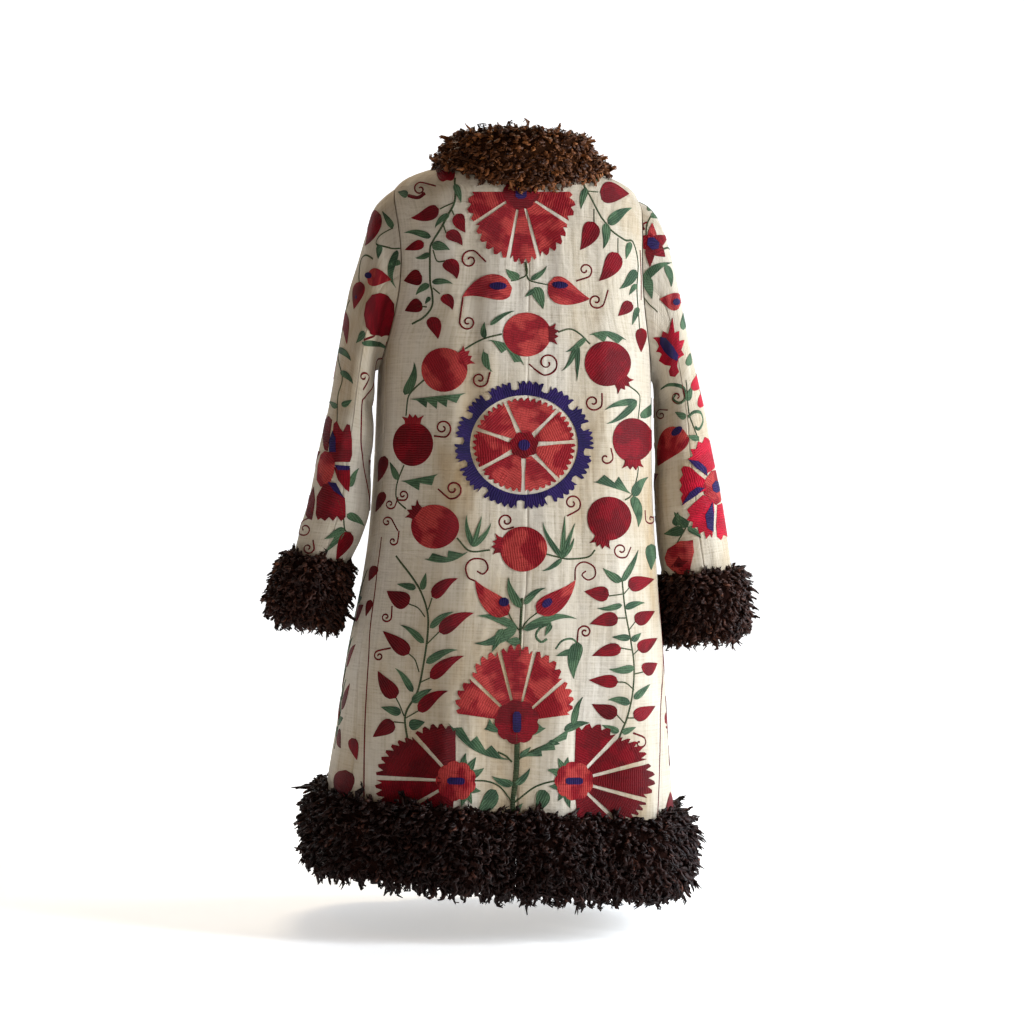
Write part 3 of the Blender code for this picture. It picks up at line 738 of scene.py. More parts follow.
def cotton_cloth():
    """Cream hand-woven cotton: uneven threads, faint streaks, and warm brown patches, partly age stains and partly
    painted fold shade.
    """
    material, tree, shader = new_material("cream_cotton")
    coordinates = add(tree, "ShaderNodeTexCoord")
    threads = coordinates.outputs["UV"]
    place = coordinates.outputs["Object"]
    # Tall warm brown patches: partly age stains, partly painted shade of the cloth's soft vertical folds.
    stain_and_fold_shade = ramp(tree, speckle(tree, mapped(tree, place, (9.0, 9.0, 3.2)), 1.0, 4.0, 0.6),
                 ((0.34, (0.600, 0.550, 0.475)), (0.52, (0.535, 0.465, 0.362)), (0.70, (0.400, 0.290, 0.165))))
    warp_streak = speckle(tree, mapped(tree, threads, (260.0, 9.0, 1.0)), 1.0, 3.0, 0.6)
    weft_streak = speckle(tree, mapped(tree, threads, (14.0, 420.0, 1.0)), 1.0, 3.0, 0.6)
    streak = total(tree, warp_streak, weft_streak, 0.55, 0.45)
    tone = ramp(tree, streak, ((0.34, (0.72, 0.69, 0.63)), (0.5, (0.95, 0.94, 0.92)), (0.66, (1.0, 1.0, 1.0))))
    link(tree, blend_colours(tree, 1.0, stain_and_fold_shade, tone, "MULTIPLY"), shader.inputs["Base Color"])
    warp = ribs(tree, mapped(tree, threads, (1.0, 1.0, 1.0)), WARP_LINES, "X", 0.4)
    weft = ribs(tree, mapped(tree, threads, (1.0, 1.0, 1.0)), WEFT_LINES, "Y", 0.4)
    weave = total(tree, warp, weft, 0.5, 0.5)
    wrinkle = speckle(tree, mapped(tree, threads, (34.0, 9.0, 1.0)), 1.0, 2.0, 0.5)
    pucker = speckle(tree, mapped(tree, threads, (60.0, 85.0, 1.0)), 1.0, 2.0, 0.5)
    relief = total(tree, wrinkle, pucker, 9.0, 2.4)
    raised(tree, shader, total(tree, total(tree, weave, streak, 0.45, 1.6), relief, 1.0, 1.0), 0.75, 0.0012)
    shader.inputs["Roughness"].default_value = 0.88
    shader.inputs["Specular IOR Level"].default_value = 0.25
    shader.inputs["Sheen Weight"].default_value = 0.18
    shader.inputs["Sheen Roughness"].default_value = 0.5
    return material


def stitched_thread(name, first, second, shadow):
    """Laid silk threads tied down by fine cross stitches, in two dye lots of one colour."""
    material, tree, shader = new_material(name)
    threads = add(tree, "ShaderNodeTexCoord").outputs["UV"]
    lot = ramp(tree, speckle(tree, mapped(tree, threads, (38.0, 24.0, 1.0)), 1.0, 2.5, 0.5),
               ((0.44, first), (0.53, second)))
    strand = speckle(tree, mapped(tree, threads, (40.0, 900.0, 1.0)), 1.0, 2.0, 0.6)
    tone = ramp(tree, strand, ((0.30, shadow), (0.5, (0.92, 0.92, 0.92)), (0.72, (1.0, 1.0, 1.0))))
    tied = ribs(tree, mapped(tree, threads, (1.0, 1.0, 1.0)), TIE_LINES, "X", 3.0)
    tie_tone = ramp(tree, tied, ((0.0, (0.58, 0.52, 0.52)), (0.34, (1.0, 1.0, 1.0))))
    colour = blend_colours(tree, 1.0, blend_colours(tree, 1.0, lot, tone, "MULTIPLY"), tie_tone, "MULTIPLY")
    link(tree, colour, shader.inputs["Base Color"])
    laid = ribs(tree, mapped(tree, threads, (1.0, 1.0, 1.0)), STRAND_LINES, "Y", 0.6)
    raised(tree, shader, total(tree, total(tree, laid, strand, 0.6, 0.8), tied, 1.0, 0.7), 0.9, 0.0010)
    shader.inputs["Roughness"].default_value = 0.60
    shader.inputs["Specular IOR Level"].default_value = 0.14
    return material


def fur_pile(name, dark, middle, light):
    """Curly dark pile: each lock has its own tone, painted lighter towards the tip up to a painted highlight colour."""
    material, tree, shader = new_material(name)
    lock = add(tree, "ShaderNodeTexCoord").outputs["UV"]
    parts = add(tree, "ShaderNodeSeparateXYZ")
    link(tree, lock, parts.inputs[0])
    shade = total(tree, parts.outputs["X"], parts.outputs["Y"], 0.72, 0.30)
    # Lighter towards the tips and on the lightest locks: partly real tone, partly painted highlight.
    link(tree, ramp(tree, shade, ((0.10, dark), (0.62, middle), (1.0, light))), shader.inputs["Base Color"])
    shader.inputs["Roughness"].default_value = 0.50
    shader.inputs["Specular IOR Level"].default_value = 0.16
    return material


def fur_skin(name, dark, light):
    """The close undercoat between the curls."""
    material, tree, shader = new_material(name)
    place = add(tree, "ShaderNodeTexCoord").outputs["Object"]
    curl = speckle(tree, place, 170.0, 4.0, 0.65)
    link(tree, ramp(tree, curl, ((0.35, dark), (0.75, light))), shader.inputs["Base Color"])
    raised(tree, shader, curl, 1.0, 0.004)
    shader.inputs["Roughness"].default_value = 0.95
    shader.inputs["Specular IOR Level"].default_value = 0.03
    return material


def lump(i, j, period):
    """Uneven standing of the curls, repeating after the period."""
    turn = 2.0 * math.pi * i / period
    wave = math.sin(7 * turn + 1.9 * j) + math.sin(11 * turn - 2.7 * j + 1.0)
    return 0.5 * wave + 0.5 * math.sin(3 * turn + 4.1 * j)


def hem_bearings(side, face, height, fine):
    """Bearings along one quarter of the hem at a height."""
    height = max(height, HEM)
    seam = gore_seam_angle(height, face)
    side_line = 0.5 * (seam + gore_seam_angle(height, -face))
    parting = 0.5 * (SEAM_GAP if face > 0 else FRONT_PARTING) / abs(body(0.0, height)[1])
    centre = parting if face > 0 else math.pi - parting
    steps = np.linspace(centre, side_line, fine)
    steps[-1] -= 0.5 * face * SEAM_GAP / body(math.pi / 2, height)[0]
    return side * steps


def hem_fur_points(side, face, fullness, fine):
    """Section rows of one quarter of the hem band, at a share of its full pile."""
    rows = []
    for j, pile in enumerate(HEM_PILE):
        height = HEM_FUR_TOP - pile.down
        angles = hem_bearings(side, face, height, fine)
        share = fullness if pile.off > 5.0 else 1.0
        off = np.full(len(angles), share * pile.off)
        if pile.off > 5.0:
            off += share * FUR_LUMP * np.array([lump(angle, j, 2.0 * math.pi) for angle in angles])
        rows.append(body(angles, height) + off[:, None] * body_normal(angles, height))
    return np.stack(rows, axis=1)


def cuff_fur_points(rings, side, turns, fullness):
    """Section rows of a cuff band round the last stretch of a sleeve."""
    normals = ring_normals(rings, side)
    points = np.empty((len(turns), len(CUFF_PILE), 3))
    for i, turn in enumerate(turns):
        line = rings[:, i]
        steps = np.linalg.norm(np.diff(line, axis=0), axis=-1)
        down = np.concatenate([[0.0], np.cumsum(steps)])
        down -= down[-1] - CUFF_CLOTH
        spread = CUFF_PILE_SIDE + CUFF_PILE_SHIFT * math.cos(turn)
        for j, pile in enumerate(CUFF_PILE):
            on_cloth = min(pile.down, CUFF_CLOTH)
            place = np.array([np.interp(on_cloth, down, line[:, axis]) for axis in range(3)])
            normal = unit(np.array([np.interp(on_cloth, down, normals[:, i, axis]) for axis in range(3)]))
            past = (pile.down - on_cloth) * unit(line[-1] - line[-3])
            off = pile.off
            if off > 5.0:
                off = fullness * spread * (off + FUR_LUMP * lump(turn, j, 2.0 * math.pi))
            points[i, j] = place + past + off * normal
    return points


def neck_edge(angle):
    """Height of the neck edge at a bearing."""
    share = abs(angle) / (math.pi / 2)
    if share <= 1.0:
        return NECK_BACK + (NECK_SIDE - NECK_BACK) * neck_rise(share, 1)
    return NECK_FRONT + (NECK_SIDE - NECK_FRONT) * neck_rise(2.0 - share, -1)


# How much slimmer the collar's pile stands beside the neck than behind it
COLLAR_SLIM = 0.42


def collar_points(fullness, fine):
    """Section rows of the collar, from the left front end round the back to the right one."""
    seats = (COLLAR_SEAT_BACK, COLLAR_SEAT_SIDE, COLLAR_SEAT_FRONT)
    end = math.pi - 0.5 * COLLAR_GAP / float(-body(math.pi, NECK_FRONT)[1])
    bearings = np.linspace(end, -end, fine)
    points = np.empty((len(bearings), len(COLLAR_ROLL) + 1 + len(COLLAR_SEAT_SHARES), 3))
    for i, angle in enumerate(bearings):
        edge = neck_edge(angle)
        share = abs(angle) / (math.pi / 2)
        seat = np.interp(share, (0.0, 1.0, 2.0), seats)
        base = body(angle, edge)
        out = np.array([math.sin(angle), math.cos(angle), 0.0])
        fall = np.interp(share, COLLAR_FALL_AT, COLLAR_FALL)
        row = []
        for j, roll in enumerate(COLLAR_ROLL):
            wave = FUR_LUMP * lump(angle, j, 2.0 * math.pi)
            rise = fall * roll.rise + 0.6 * wave
            middle = base + np.array([0.0, 0.0, fall * 24.0]) + 20.0 * out
            full = base + np.array([0.0, 0.0, rise]) + (roll.out + 0.7 * wave) * out
            row.append(middle + (full - middle) * fullness * (1.0 - COLLAR_SLIM * math.sin(angle) ** 2))
        low = edge - seat
        row.append(body(angle, low) + 12.0 * fullness * body_normal(angle, low))
        for share_down in COLLAR_SEAT_SHARES:
            height = edge - share_down * seat
            row.append(body(angle, height) + COLLAR_SEAT_GAP * body_normal(angle, height))
        points[i] = row
    return points


# How the curls of one band stand: their roots as a stretch of the section rows, the millimetres
# of skin to one tuft, the length of a lock, how far it stands and lies down, the curl's radius
# and turns, and the thickness of a lock
Curls = namedtuple("Curls", "first_row last_row skin length stand lie radius turns thickness")
HEM_CURLS = Curls(0.6, 9.4, 8.4, 21, 0.44, 0.44, 4.8, 1.45, 2.15)
CUFF_CURLS = Curls(0.6, 8.4, 7.5, 17, 0.42, 0.44, 4.2, 1.4, 1.90)
COLLAR_CURLS = Curls(-0.3, 7.4, 6.5, 15, 0.44, 0.36, 4.2, 1.5, 1.75)
LOCKS_TO_TUFT = 3
LOCK_STEPS = 5


def grid_place(points, i, j, closed):
    """Point, outward direction and downward direction at fractional places of a grid of rows."""
    stations = points.shape[0]
    around = points.shape[1]
    i0 = np.floor(i).astype(int)
    j0 = np.floor(j).astype(int)
    s = (i - i0)[:, None]
    t = (j - j0)[:, None]
    i1 = (i0 + 1) % stations if closed else np.minimum(i0 + 1, stations - 1)
    i0 = i0 % stations if closed else np.minimum(i0, stations - 2)
    j1 = (j0 + 1) % around
    j0 = j0 % around
    a, b, c, d = points[i0, j0], points[i1, j0], points[i0, j1], points[i1, j1]
    place = (a * (1 - s) + b * s) * (1 - t) + (c * (1 - s) + d * s) * t
    across = unit((b - a) * (1 - t) + (d - c) * t)
    down = unit((c - a) * (1 - s) + (d - b) * s)
    return place, across, down


def tufts(points, curls, closed, seed):
    """Corners and faces of every lock on a band, from one array of tufts."""
    rng = np.random.default_rng(seed)
    first, last = curls.first_row, curls.last_row
    mid = points[:, int(max(first, 0)) + 1:int(last)]
    length = np.linalg.norm(np.diff(mid, axis=0), axis=-1).sum(axis=0).mean()
    rows = points[:, [int(k) % points.shape[1] for k in range(int(math.floor(first)), int(last) + 2)]]
    reach = np.linalg.norm(np.diff(rows, axis=1), axis=-1).sum(axis=1).mean()
    along = int(length / curls.skin)
    down_count = max(3, int(reach / curls.skin))
    a, b = np.meshgrid(np.arange(along), np.arange(down_count), indexing="ij")
    jitter = rng.uniform(-0.48, 0.48, (2,) + a.shape)
    i = (a + 0.5 + 0.5 * (b % 2) + jitter[0]) / along * (points.shape[0] if closed else points.shape[0] - 1)
    share = np.clip((b + 0.5 + jitter[1]) / down_count, 0.0, 1.0)
    steps = np.linalg.norm(np.diff(rows, axis=1), axis=-1).mean(axis=0)
    lengths = np.concatenate([[0.0], np.cumsum(steps)])
    row_at = np.interp(share.ravel() * lengths[-1], lengths, math.floor(first) + np.arange(len(lengths)))
    i = np.clip(i.ravel(), 0.02, None) if closed else np.clip(i.ravel(), 0.05, points.shape[0] - 1.05)
    row_at = np.clip(row_at, first, last)
    root, across, down = grid_place(points, i, row_at, closed)
    count = len(root)
    return rng, root, across, down, count


def fur_band(name, points, curls, closed, node, seed, materials, hang):
    """A fur band in one piece: its close undercoat and the curly locks that stand out of it."""
    stations, around = points.shape[0], points.shape[1]
    segments = stations if closed else stations - 1
    skin = bmesh.new()
    bmesh.ops.create_grid(skin, x_segments=segments, y_segments=around, size=0.5)
    for vert in skin.verts:
        i = round((vert.co.x + 0.5) * segments) % stations
        j = round((vert.co.y + 0.5) * around) % around
        vert.co = Vector(points[i, j]) * MM
    bmesh.ops.remove_doubles(skin, verts=skin.verts[:], dist=1e-6)
    if not closed:
        ends = [edge for edge in skin.edges if edge.is_boundary]
        bmesh.ops.holes_fill(skin, edges=ends, sides=around)
    bmesh.ops.recalc_face_normals(skin, faces=skin.faces[:])
    outward = skin.calc_volume(signed=True)
    if outward < 0.0:
        bmesh.ops.reverse_faces(skin, faces=skin.faces[:])

    rng, root, across, down, count = tufts(points, curls, closed, seed)
    normal = unit(np.cross(down, across))
    middle = points.mean(axis=1)
    nearest = middle[np.argmin(((root[:, None] - middle[None]) ** 2).sum(axis=-1), axis=1)]
    flip = np.sign((normal * (root - nearest)).sum(axis=-1))
    normal *= flip[:, None]
    fall = np.array([0.0, 0.0, -1.0])
    lie = unit(down * (1.0 - hang) + fall * hang + 0.35 * rng.normal(size=(count, 3)))
    size = np.clip(rng.normal(1.0, 0.22, count), 0.55, 1.6)
    stand = curls.stand * np.clip(rng.normal(1.0, 0.25, count), 0.4, 1.7)
    phase = rng.uniform(0, 2 * math.pi, count)
    handed = rng.choice((-1.0, 1.0), count)
    shade = np.clip(rng.beta(1.3, 4.2, count), 0.0, 1.0)

    strands = LOCKS_TO_TUFT
    root = np.repeat(root, strands, axis=0)
    normal = np.repeat(normal, strands, axis=0)
    lie = np.repeat(lie, strands, axis=0)
    total_count = count * strands
    size = np.repeat(size, strands) * rng.uniform(0.8, 1.15, total_count)
    stand = np.repeat(stand, strands) * rng.uniform(0.85, 1.15, total_count)
    phase = np.repeat(phase, strands) + rng.normal(0, 0.5, total_count)
    handed = np.repeat(handed, strands)
    shade = np.clip(np.repeat(shade, strands) + rng.normal(0, 0.08, total_count), 0.0, 1.0)
    side_way = unit(np.cross(normal, lie))
    spread = rng.normal(0, 2.1, (total_count, 2))
    root = root - normal * 1.5

    t = np.linspace(0.0, 1.0, LOCK_STEPS + 1)[None, :]
    parted = 1.0 - 0.55 * t
    reach = (curls.length * size)[:, None]
    up = reach * stand[:, None] * (1.0 - (1.0 - t) ** 1.8)
    out = reach * curls.lie * t ** 1.25
    wind = phase[:, None] + handed[:, None] * 2.0 * math.pi * curls.turns * t
    swing = curls.radius * np.repeat(rng.uniform(0.6, 1.3, count), strands)[:, None] * t ** 0.7
    path = (root[:, None] + normal[:, None] * (up + 0.7 * swing * np.sin(wind))[..., None]
            + lie[:, None] * (out + 0.5 * swing * np.sin(wind) + spread[:, 1:] * parted)[..., None]
            + side_way[:, None] * (swing * np.cos(wind) + spread[:, :1] * parted)[..., None])
    heading = unit(np.gradient(path, axis=1))
    flat = unit(np.cross(heading, normal[:, None] + 0.01))
    tall = np.cross(heading, flat)
    girth = curls.thickness * size[:, None] * np.sqrt(1.0 - 0.93 * t ** 2.2)
    corners = []
    for k in range(3):
        turn = 2.0 * math.pi * k / 3
        corners.append(path + girth[..., None] * (math.cos(turn) * flat + math.sin(turn) * tall))
    corners = np.stack(corners, axis=2)
    corner_count = (LOCK_STEPS + 1) * 3
    locks = corners.reshape(-1, 3) * MM

    quad = []
    for s in range(LOCK_STEPS):
        for k in range(3):
            n = (k + 1) % 3
            quad.append((s * 3 + k, s * 3 + n, (s + 1) * 3 + n, (s + 1) * 3 + k))
    quad = np.array(quad)
    faces = (quad[None] + (np.arange(total_count) * corner_count)[:, None, None]).reshape(-1, 4)
    tip = np.array((LOCK_STEPS * 3, LOCK_STEPS * 3 + 1, LOCK_STEPS * 3 + 2))
    tips = tip[None] + (np.arange(total_count) * corner_count)[:, None]

    mesh = bpy.data.meshes.new(name)
    loose = bpy.data.meshes.new(name + "_locks")
    loose.from_pydata(locks.tolist(), [], faces.tolist() + tips.tolist())
    loose.polygons.foreach_set("material_index", np.ones(len(loose.polygons), dtype=np.int32))
    skin.from_mesh(loose)
    bpy.data.meshes.remove(loose)
    lock_uv = skin.loops.layers.uv.new("Lock")
    skin.verts.ensure_lookup_table()
    first_lock = len(skin.verts) - len(locks)
    along_lock = np.repeat(np.linspace(0.0, 1.0, LOCK_STEPS + 1), 3)
    for face in skin.faces:
        if face.material_index == 1:
            for loop in face.loops:
                place = loop.vert.index - first_lock
                loop[lock_uv].uv = (shade[place // corner_count], along_lock[place % corner_count])
    skin.to_mesh(mesh)
    skin.free()
    mesh.shade_smooth()
    for material in materials:
        mesh.materials.append(material)
    piece = bpy.data.objects.new(name, mesh)
    bpy.context.scene.collection.objects.link(piece)
    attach(piece, "root")
    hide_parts(node)
    return piece


# The cloth as a flat sheet that the needlework is laid out on: rows of points up the cloth, the
# distance round from its middle line, and the distance up it
Sheet = namedtuple("Sheet", "points normals around up reach")

# Scale of the photograph at the coat, in millimetres of cloth to one pixel
PIXEL = 1.45


def sheet_of(points, zero, reach=None):
    """A sheet from rows of points that run left to right as seen from outside, lowest row first.

    The reach is the farthest column that has cloth on each side of the middle one, row by row."""
    along = np.gradient(points, axis=1)
    upward = np.gradient(points, axis=0)
    steps = np.linalg.norm(np.diff(points, axis=1), axis=-1)
    around = np.concatenate([np.zeros((len(points), 1)), np.cumsum(steps, axis=1)], axis=1)
    around -= around[:, zero:zero + 1]
    rise = np.linalg.norm(np.diff(points, axis=0), axis=-1)
    near = slice(zero - len(points[0]) // 8, zero + len(points[0]) // 8)
    up = np.concatenate([[0.0], np.cumsum(rise[:, near].mean(axis=1))])
    columns = np.arange(points.shape[1])
    limits = np.full((len(points), 2), 1e6)
    if reach is not None:
        for row, columns_of_cloth in enumerate(reach):
            if columns_of_cloth is not None:
                for way, sign in enumerate((-1, 1)):
                    limits[row, way] = abs(np.interp(zero + sign * columns_of_cloth, columns, around[row])) - 1.2
    return Sheet(points, unit(np.cross(along, upward)), around, up - up[-1], limits)


def body_sheet(middle_bearing, top):
    """The body cloth, laid out from its centre back (0) or its centre front (180)."""
    heights = np.concatenate([np.linspace(HEM, -46.0, 156), np.linspace(-41.0, top, 16)])
    bearings = math.radians(middle_bearing) + np.linspace(math.pi, -math.pi, 361)
    reach = []
    for height in heights:
        if HOLE_BOTTOM < height < HOLE_TOP:
            turn = math.acos((height - 0.5 * (HOLE_TOP + HOLE_BOTTOM)) / (0.5 * (HOLE_TOP - HOLE_BOTTOM)))
            bearing = math.degrees(hole_angle(turn if middle_bearing == 0 else -turn))
            reach.append(bearing if middle_bearing == 0 else 180.0 - bearing)
        else:
            reach.append(None)
    return sheet_of(np.stack([draped(bearings, height + 0.0 * bearings) for height in heights]), 180, reach)


def sleeve_sheet(side):
    """A sleeve's cloth, laid out from its back seam."""
    places = np.linspace(0.0, len(SLEEVE_LEFT) - 1.0, 121)
    turns = math.pi / 2 + side * np.linspace(-math.pi, math.pi, 145)[:-1]
    rings = sleeve_rings(side, turns[::side], places)[:, ::side]
    rings = np.concatenate([rings, rings[:, :1]], axis=1)
    return sheet_of(rings[::-1], 72)


def laid(sheet, u, v, off):
    """Points on the cloth at flat places, so many millimetres off it."""
    row = np.clip(np.interp(v, sheet.up, np.arange(len(sheet.up))), 0, len(sheet.up) - 1.001)
    result = np.empty((len(u), 3))
    ways = np.empty((len(u), 3))
    columns = np.arange(sheet.around.shape[1])
    for k in range(len(u)):
        j = int(row[k])
        t = row[k] - j
        sides = []
        for r in (j, j + 1):
            left, right = sheet.reach[r]
            c = np.interp(min(max(u[k], -left), right), sheet.around[r], columns)
            i = min(int(c), len(columns) - 2)
            s = c - i
            sides.append((sheet.points[r, i] * (1 - s) + sheet.points[r, i + 1] * s,
                          sheet.normals[r, i] * (1 - s) + sheet.normals[r, i + 1] * s))
        result[k] = sides[0][0] * (1 - t) + sides[1][0] * t
        ways[k] = sides[0][1] * (1 - t) + sides[1][1] * t
    return result + unit(ways) * np.asarray(off)[:, None]


def seen(points):
    """Where points show in the photograph, in its pixels."""
    bearing = math.radians(VIEW_BEARING)
    ahead = np.array([-math.sin(bearing), math.cos(bearing), 0.0])
    right = np.array([ahead[1], -ahead[0], 0.0])
    eye = np.array([0.0, 0.0, VIEW_AIM_HEIGHT]) - VIEW_DISTANCE * ahead
    away = points - eye
    depth = away @ ahead
    x = VIEW_LENS_PIXELS * (away @ right) / depth
    y = -VIEW_LENS_PIXELS * away[..., 2] / depth
    roll = math.radians(VIEW_ROLL)
    return np.stack([VIEW_AXIS_PX + x * math.cos(roll) - y * math.sin(roll),
                     0.5 * PICTURE + x * math.sin(roll) + y * math.cos(roll)], axis=-1)


def drawn(px, py):
    """A photo place in the drawing's own millimetres: to the right and up."""
    return np.array([px * PIXEL, -py * PIXEL])


class ByPhoto:
    """Lays a drawing out where the photograph shows it, on the side of a sheet that it shows."""

    def __init__(self, sheet):
        self.sheet = sheet
        bearing = math.radians(VIEW_BEARING)
        towards = np.array([math.sin(bearing), -math.cos(bearing), 0.0])
        pixels = seen(sheet.points)
        shown = np.argwhere((sheet.normals @ towards) > 0.04)
        self.tree = KDTree(len(shown))
        for r, c in shown:
            self.tree.insert((pixels[r, c, 0], pixels[r, c, 1], 0.0), int(r) * sheet.around.shape[1] + int(c))
        self.tree.balance()

    def lay(self, drawing):
        drawing = np.atleast_2d(drawing)
        pixels = drawing / np.array([PIXEL, -PIXEL])
        columns = self.sheet.around.shape[1]
        near = [divmod(self.tree.find((x, y, 0.0))[1], columns) for x, y in pixels]
        flat = np.array([[self.sheet.around[r, c], self.sheet.up[r]] for r, c in near])
        for _ in range(2):
            zero = np.zeros(len(flat))
            here = seen(laid(self.sheet, flat[:, 0], flat[:, 1], zero))
            right = seen(laid(self.sheet, flat[:, 0] + 1.0, flat[:, 1], zero)) - here
            up = seen(laid(self.sheet, flat[:, 0], flat[:, 1] + 1.0, zero)) - here
            miss = pixels - here
            turn = right[:, 0] * up[:, 1] - right[:, 1] * up[:, 0]
            firm = np.abs(turn) > 0.03
            turn = np.where(firm, turn, 1.0)
            move = np.stack([(miss[:, 0] * up[:, 1] - miss[:, 1] * up[:, 0]) / turn,
                             (right[:, 0] * miss[:, 1] - right[:, 1] * miss[:, 0]) / turn], axis=-1)
            flat = flat + np.clip(move, -6.0, 6.0) * firm[:, None]
        return flat


class ByFlat:
    """Repeats a drawing on a hidden side: along a column of the sheet, from a height down it."""

    def __init__(self, sheet, column, middle_px, middle_py, height, mirror=False):
        self.sheet, self.column, self.height = sheet, column, height
        self.middle = drawn(middle_px, middle_py)
        self.way = -1.0 if mirror else 1.0

    def lay(self, drawing):
        away = np.atleast_2d(drawing) - self.middle
        v = self.height + away[:, 1]
        row = np.clip(np.interp(v, self.sheet.up, np.arange(len(self.sheet.up))), 0, len(self.sheet.up) - 1)
        middle = self.sheet.around[row.astype(int), self.column]
        return np.stack([middle + self.way * away[:, 0], v], axis=-1)


# The threads, how thick each lies on the cloth, and the size of the cells that a stitched shape
# is cut into so that it follows the cloth
THREADS = ("coral", "crimson", "wine", "navy", "green", "olive", "bright")
PILE_OF = {"coral": 0.75, "crimson": 0.75, "wine": 0.75, "navy": 1.05, "green": 0.7, "olive": 0.7,
           "bright": 0.75}
CELL = 6.5


class Needlework:
    """Everything stitched on one sheet, gathered into one mesh."""

    def __init__(self, sheet):
        self.sheet = sheet
        self.flat, self.off, self.faces, self.threads, self.uvs = [], [], [], [], []
        self.count = 0

    def gather(self, places, off, faces, thread, uv):
        index = THREADS.index(thread)
        self.flat.append(places)
        self.off.append(off)
        for face in faces:
            self.faces.append([self.count + k for k in face])
            self.threads.append(index)
        self.uvs.append(uv)
        self.count += len(places)

    def patch(self, outline, thread, grain=0.0, lift=0.0):
        """A filled shape, given by its outline on the flat cloth; the grain is the threads' lie."""
        outline = np.asarray(outline, dtype=float)
        area = 0.5 * np.sum(outline[:, 0] * np.roll(outline[:, 1], -1) - np.roll(outline[:, 0], -1) * outline[:, 1])
        if area < 0.0:
            outline = outline[::-1]
        shape = bmesh.new()
        shape.faces.new([shape.verts.new((x, y, 0.0)) for x, y in outline])
        low, high = outline.min(axis=0), outline.max(axis=0)
        for axis in (0, 1):
            for line in np.arange(math.ceil(low[axis] / CELL) * CELL, high[axis], CELL):
                level = [0.0, 0.0, 0.0]
                level[axis] = line
                way = [0.0, 0.0, 0.0]
                way[axis] = 1.0
                bmesh.ops.bisect_plane(shape, geom=shape.verts[:] + shape.edges[:] + shape.faces[:],
                                       dist=1e-5, plane_co=level, plane_no=way)
        bmesh.ops.triangulate(shape, faces=shape.faces[:])
        rim = [edge for edge in shape.edges if edge.is_boundary]
        made = bmesh.ops.extrude_edge_only(shape, edges=rim)
        for item in made["geom"]:
            if isinstance(item, bmesh.types.BMVert):
                item.co.z = -1.0
        shape.verts.index_update()
        places = np.array([vert.co[:] for vert in shape.verts])
        top = PILE_OF[thread] + lift
        off = np.where(places[:, 2] < -0.5, -0.4, top)
        faces = [[vert.index for vert in face.verts] for face in shape.faces]
        shape.free()
        c, s = math.cos(math.radians(grain)), math.sin(math.radians(grain))
        uv = np.stack([places[:, 0] * c + places[:, 1] * s, places[:, 1] * c - places[:, 0] * s], axis=-1) * MM
        self.gather(places[:, :2], off, faces, thread, uv)

    def line(self, points, thread, width, taper=0.0):
        """A row of chain stitch along a smooth path on the flat cloth."""
        path = curve(points, 3.0)
        ahead = unit(np.gradient(path, axis=0))
        side = np.stack([-ahead[:, 1], ahead[:, 0]], axis=-1)
        steps = np.linalg.norm(np.diff(path, axis=0), axis=-1)
        along = np.concatenate([[0.0], np.cumsum(steps)])
        share = along / along[-1]
        half = 0.5 * width * (1.0 - taper * share)
        rows = [path + side * half[:, None], path, path - side * half[:, None]]
        places = np.concatenate(rows)
        n = len(path)
        top = PILE_OF[thread]
        off = np.concatenate([np.full(n, -0.2), np.full(n, top + 0.15), np.full(n, -0.2)])
        faces = []
        for k in range(n - 1):
            faces.append((k + 1, k, n + k, n + k + 1))
            faces.append((n + k + 1, n + k, 2 * n + k, 2 * n + k + 1))
        across = np.concatenate([half, 0.0 * half, -half])
        uv = np.stack([np.tile(along, 3), across], axis=-1) * MM
        self.gather(places, off, faces, thread, uv)

    def finish(self, name, materials):
        flat = np.concatenate(self.flat)
        points = laid(self.sheet, flat[:, 0], flat[:, 1], np.concatenate(self.off)) * MM
        mesh = bpy.data.meshes.new(name)
        mesh.from_pydata(points.tolist(), [], self.faces)
        mesh.polygons.foreach_set("material_index", np.array(self.threads, dtype=np.int32))
        layer = mesh.uv_layers.new(name="Thread")
        corners = np.empty(len(mesh.loops), dtype=np.int32)
        mesh.loops.foreach_get("vertex_index", corners)
        layer.data.foreach_set("uv", np.concatenate(self.uvs)[corners].ravel())
        mesh.shade_smooth()
        mesh.set_sharp_from_angle(angle=math.radians(40.0))
        for material in materials:
            mesh.materials.append(material)
        piece = bpy.data.objects.new(name, mesh)
        bpy.context.scene.collection.objects.link(piece)
        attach(piece, "root")
        return piece


def curve(points, step):
    """A smooth path through given points, in even steps."""
    points = np.asarray(points, dtype=float)
    if len(points) == 2:
        points = np.stack([points[0], 0.5 * (points[0] + points[1]), points[1]])
    ends = np.concatenate([[2 * points[0] - points[1]], points, [2 * points[-1] - points[-2]]])
    fine = []
    for k in range(len(points) - 1):
        a, b, c, d = ends[k:k + 4]
        count = max(2, int(np.linalg.norm(c - b) / step) + 1)
        for t in np.linspace(0.0, 1.0, count, endpoint=False):
            fine.append(0.5 * (2 * b + (c - a) * t + (2 * a - 5 * b + 4 * c - d) * t * t
                               + (3 * b - a - 3 * c + d) * t ** 3))
    fine.append(points[-1])
    return np.array(fine)


def polar(centre, radius, degrees):
    turn = np.radians(degrees)
    return np.stack([centre[0] + radius * np.cos(turn), centre[1] + radius * np.sin(turn)], axis=-1)


# A leaf or drop: its stem end, its tip, its width and how far it bows to its left
Leaf = namedtuple("Leaf", "px py tip_px tip_py width bow thread")


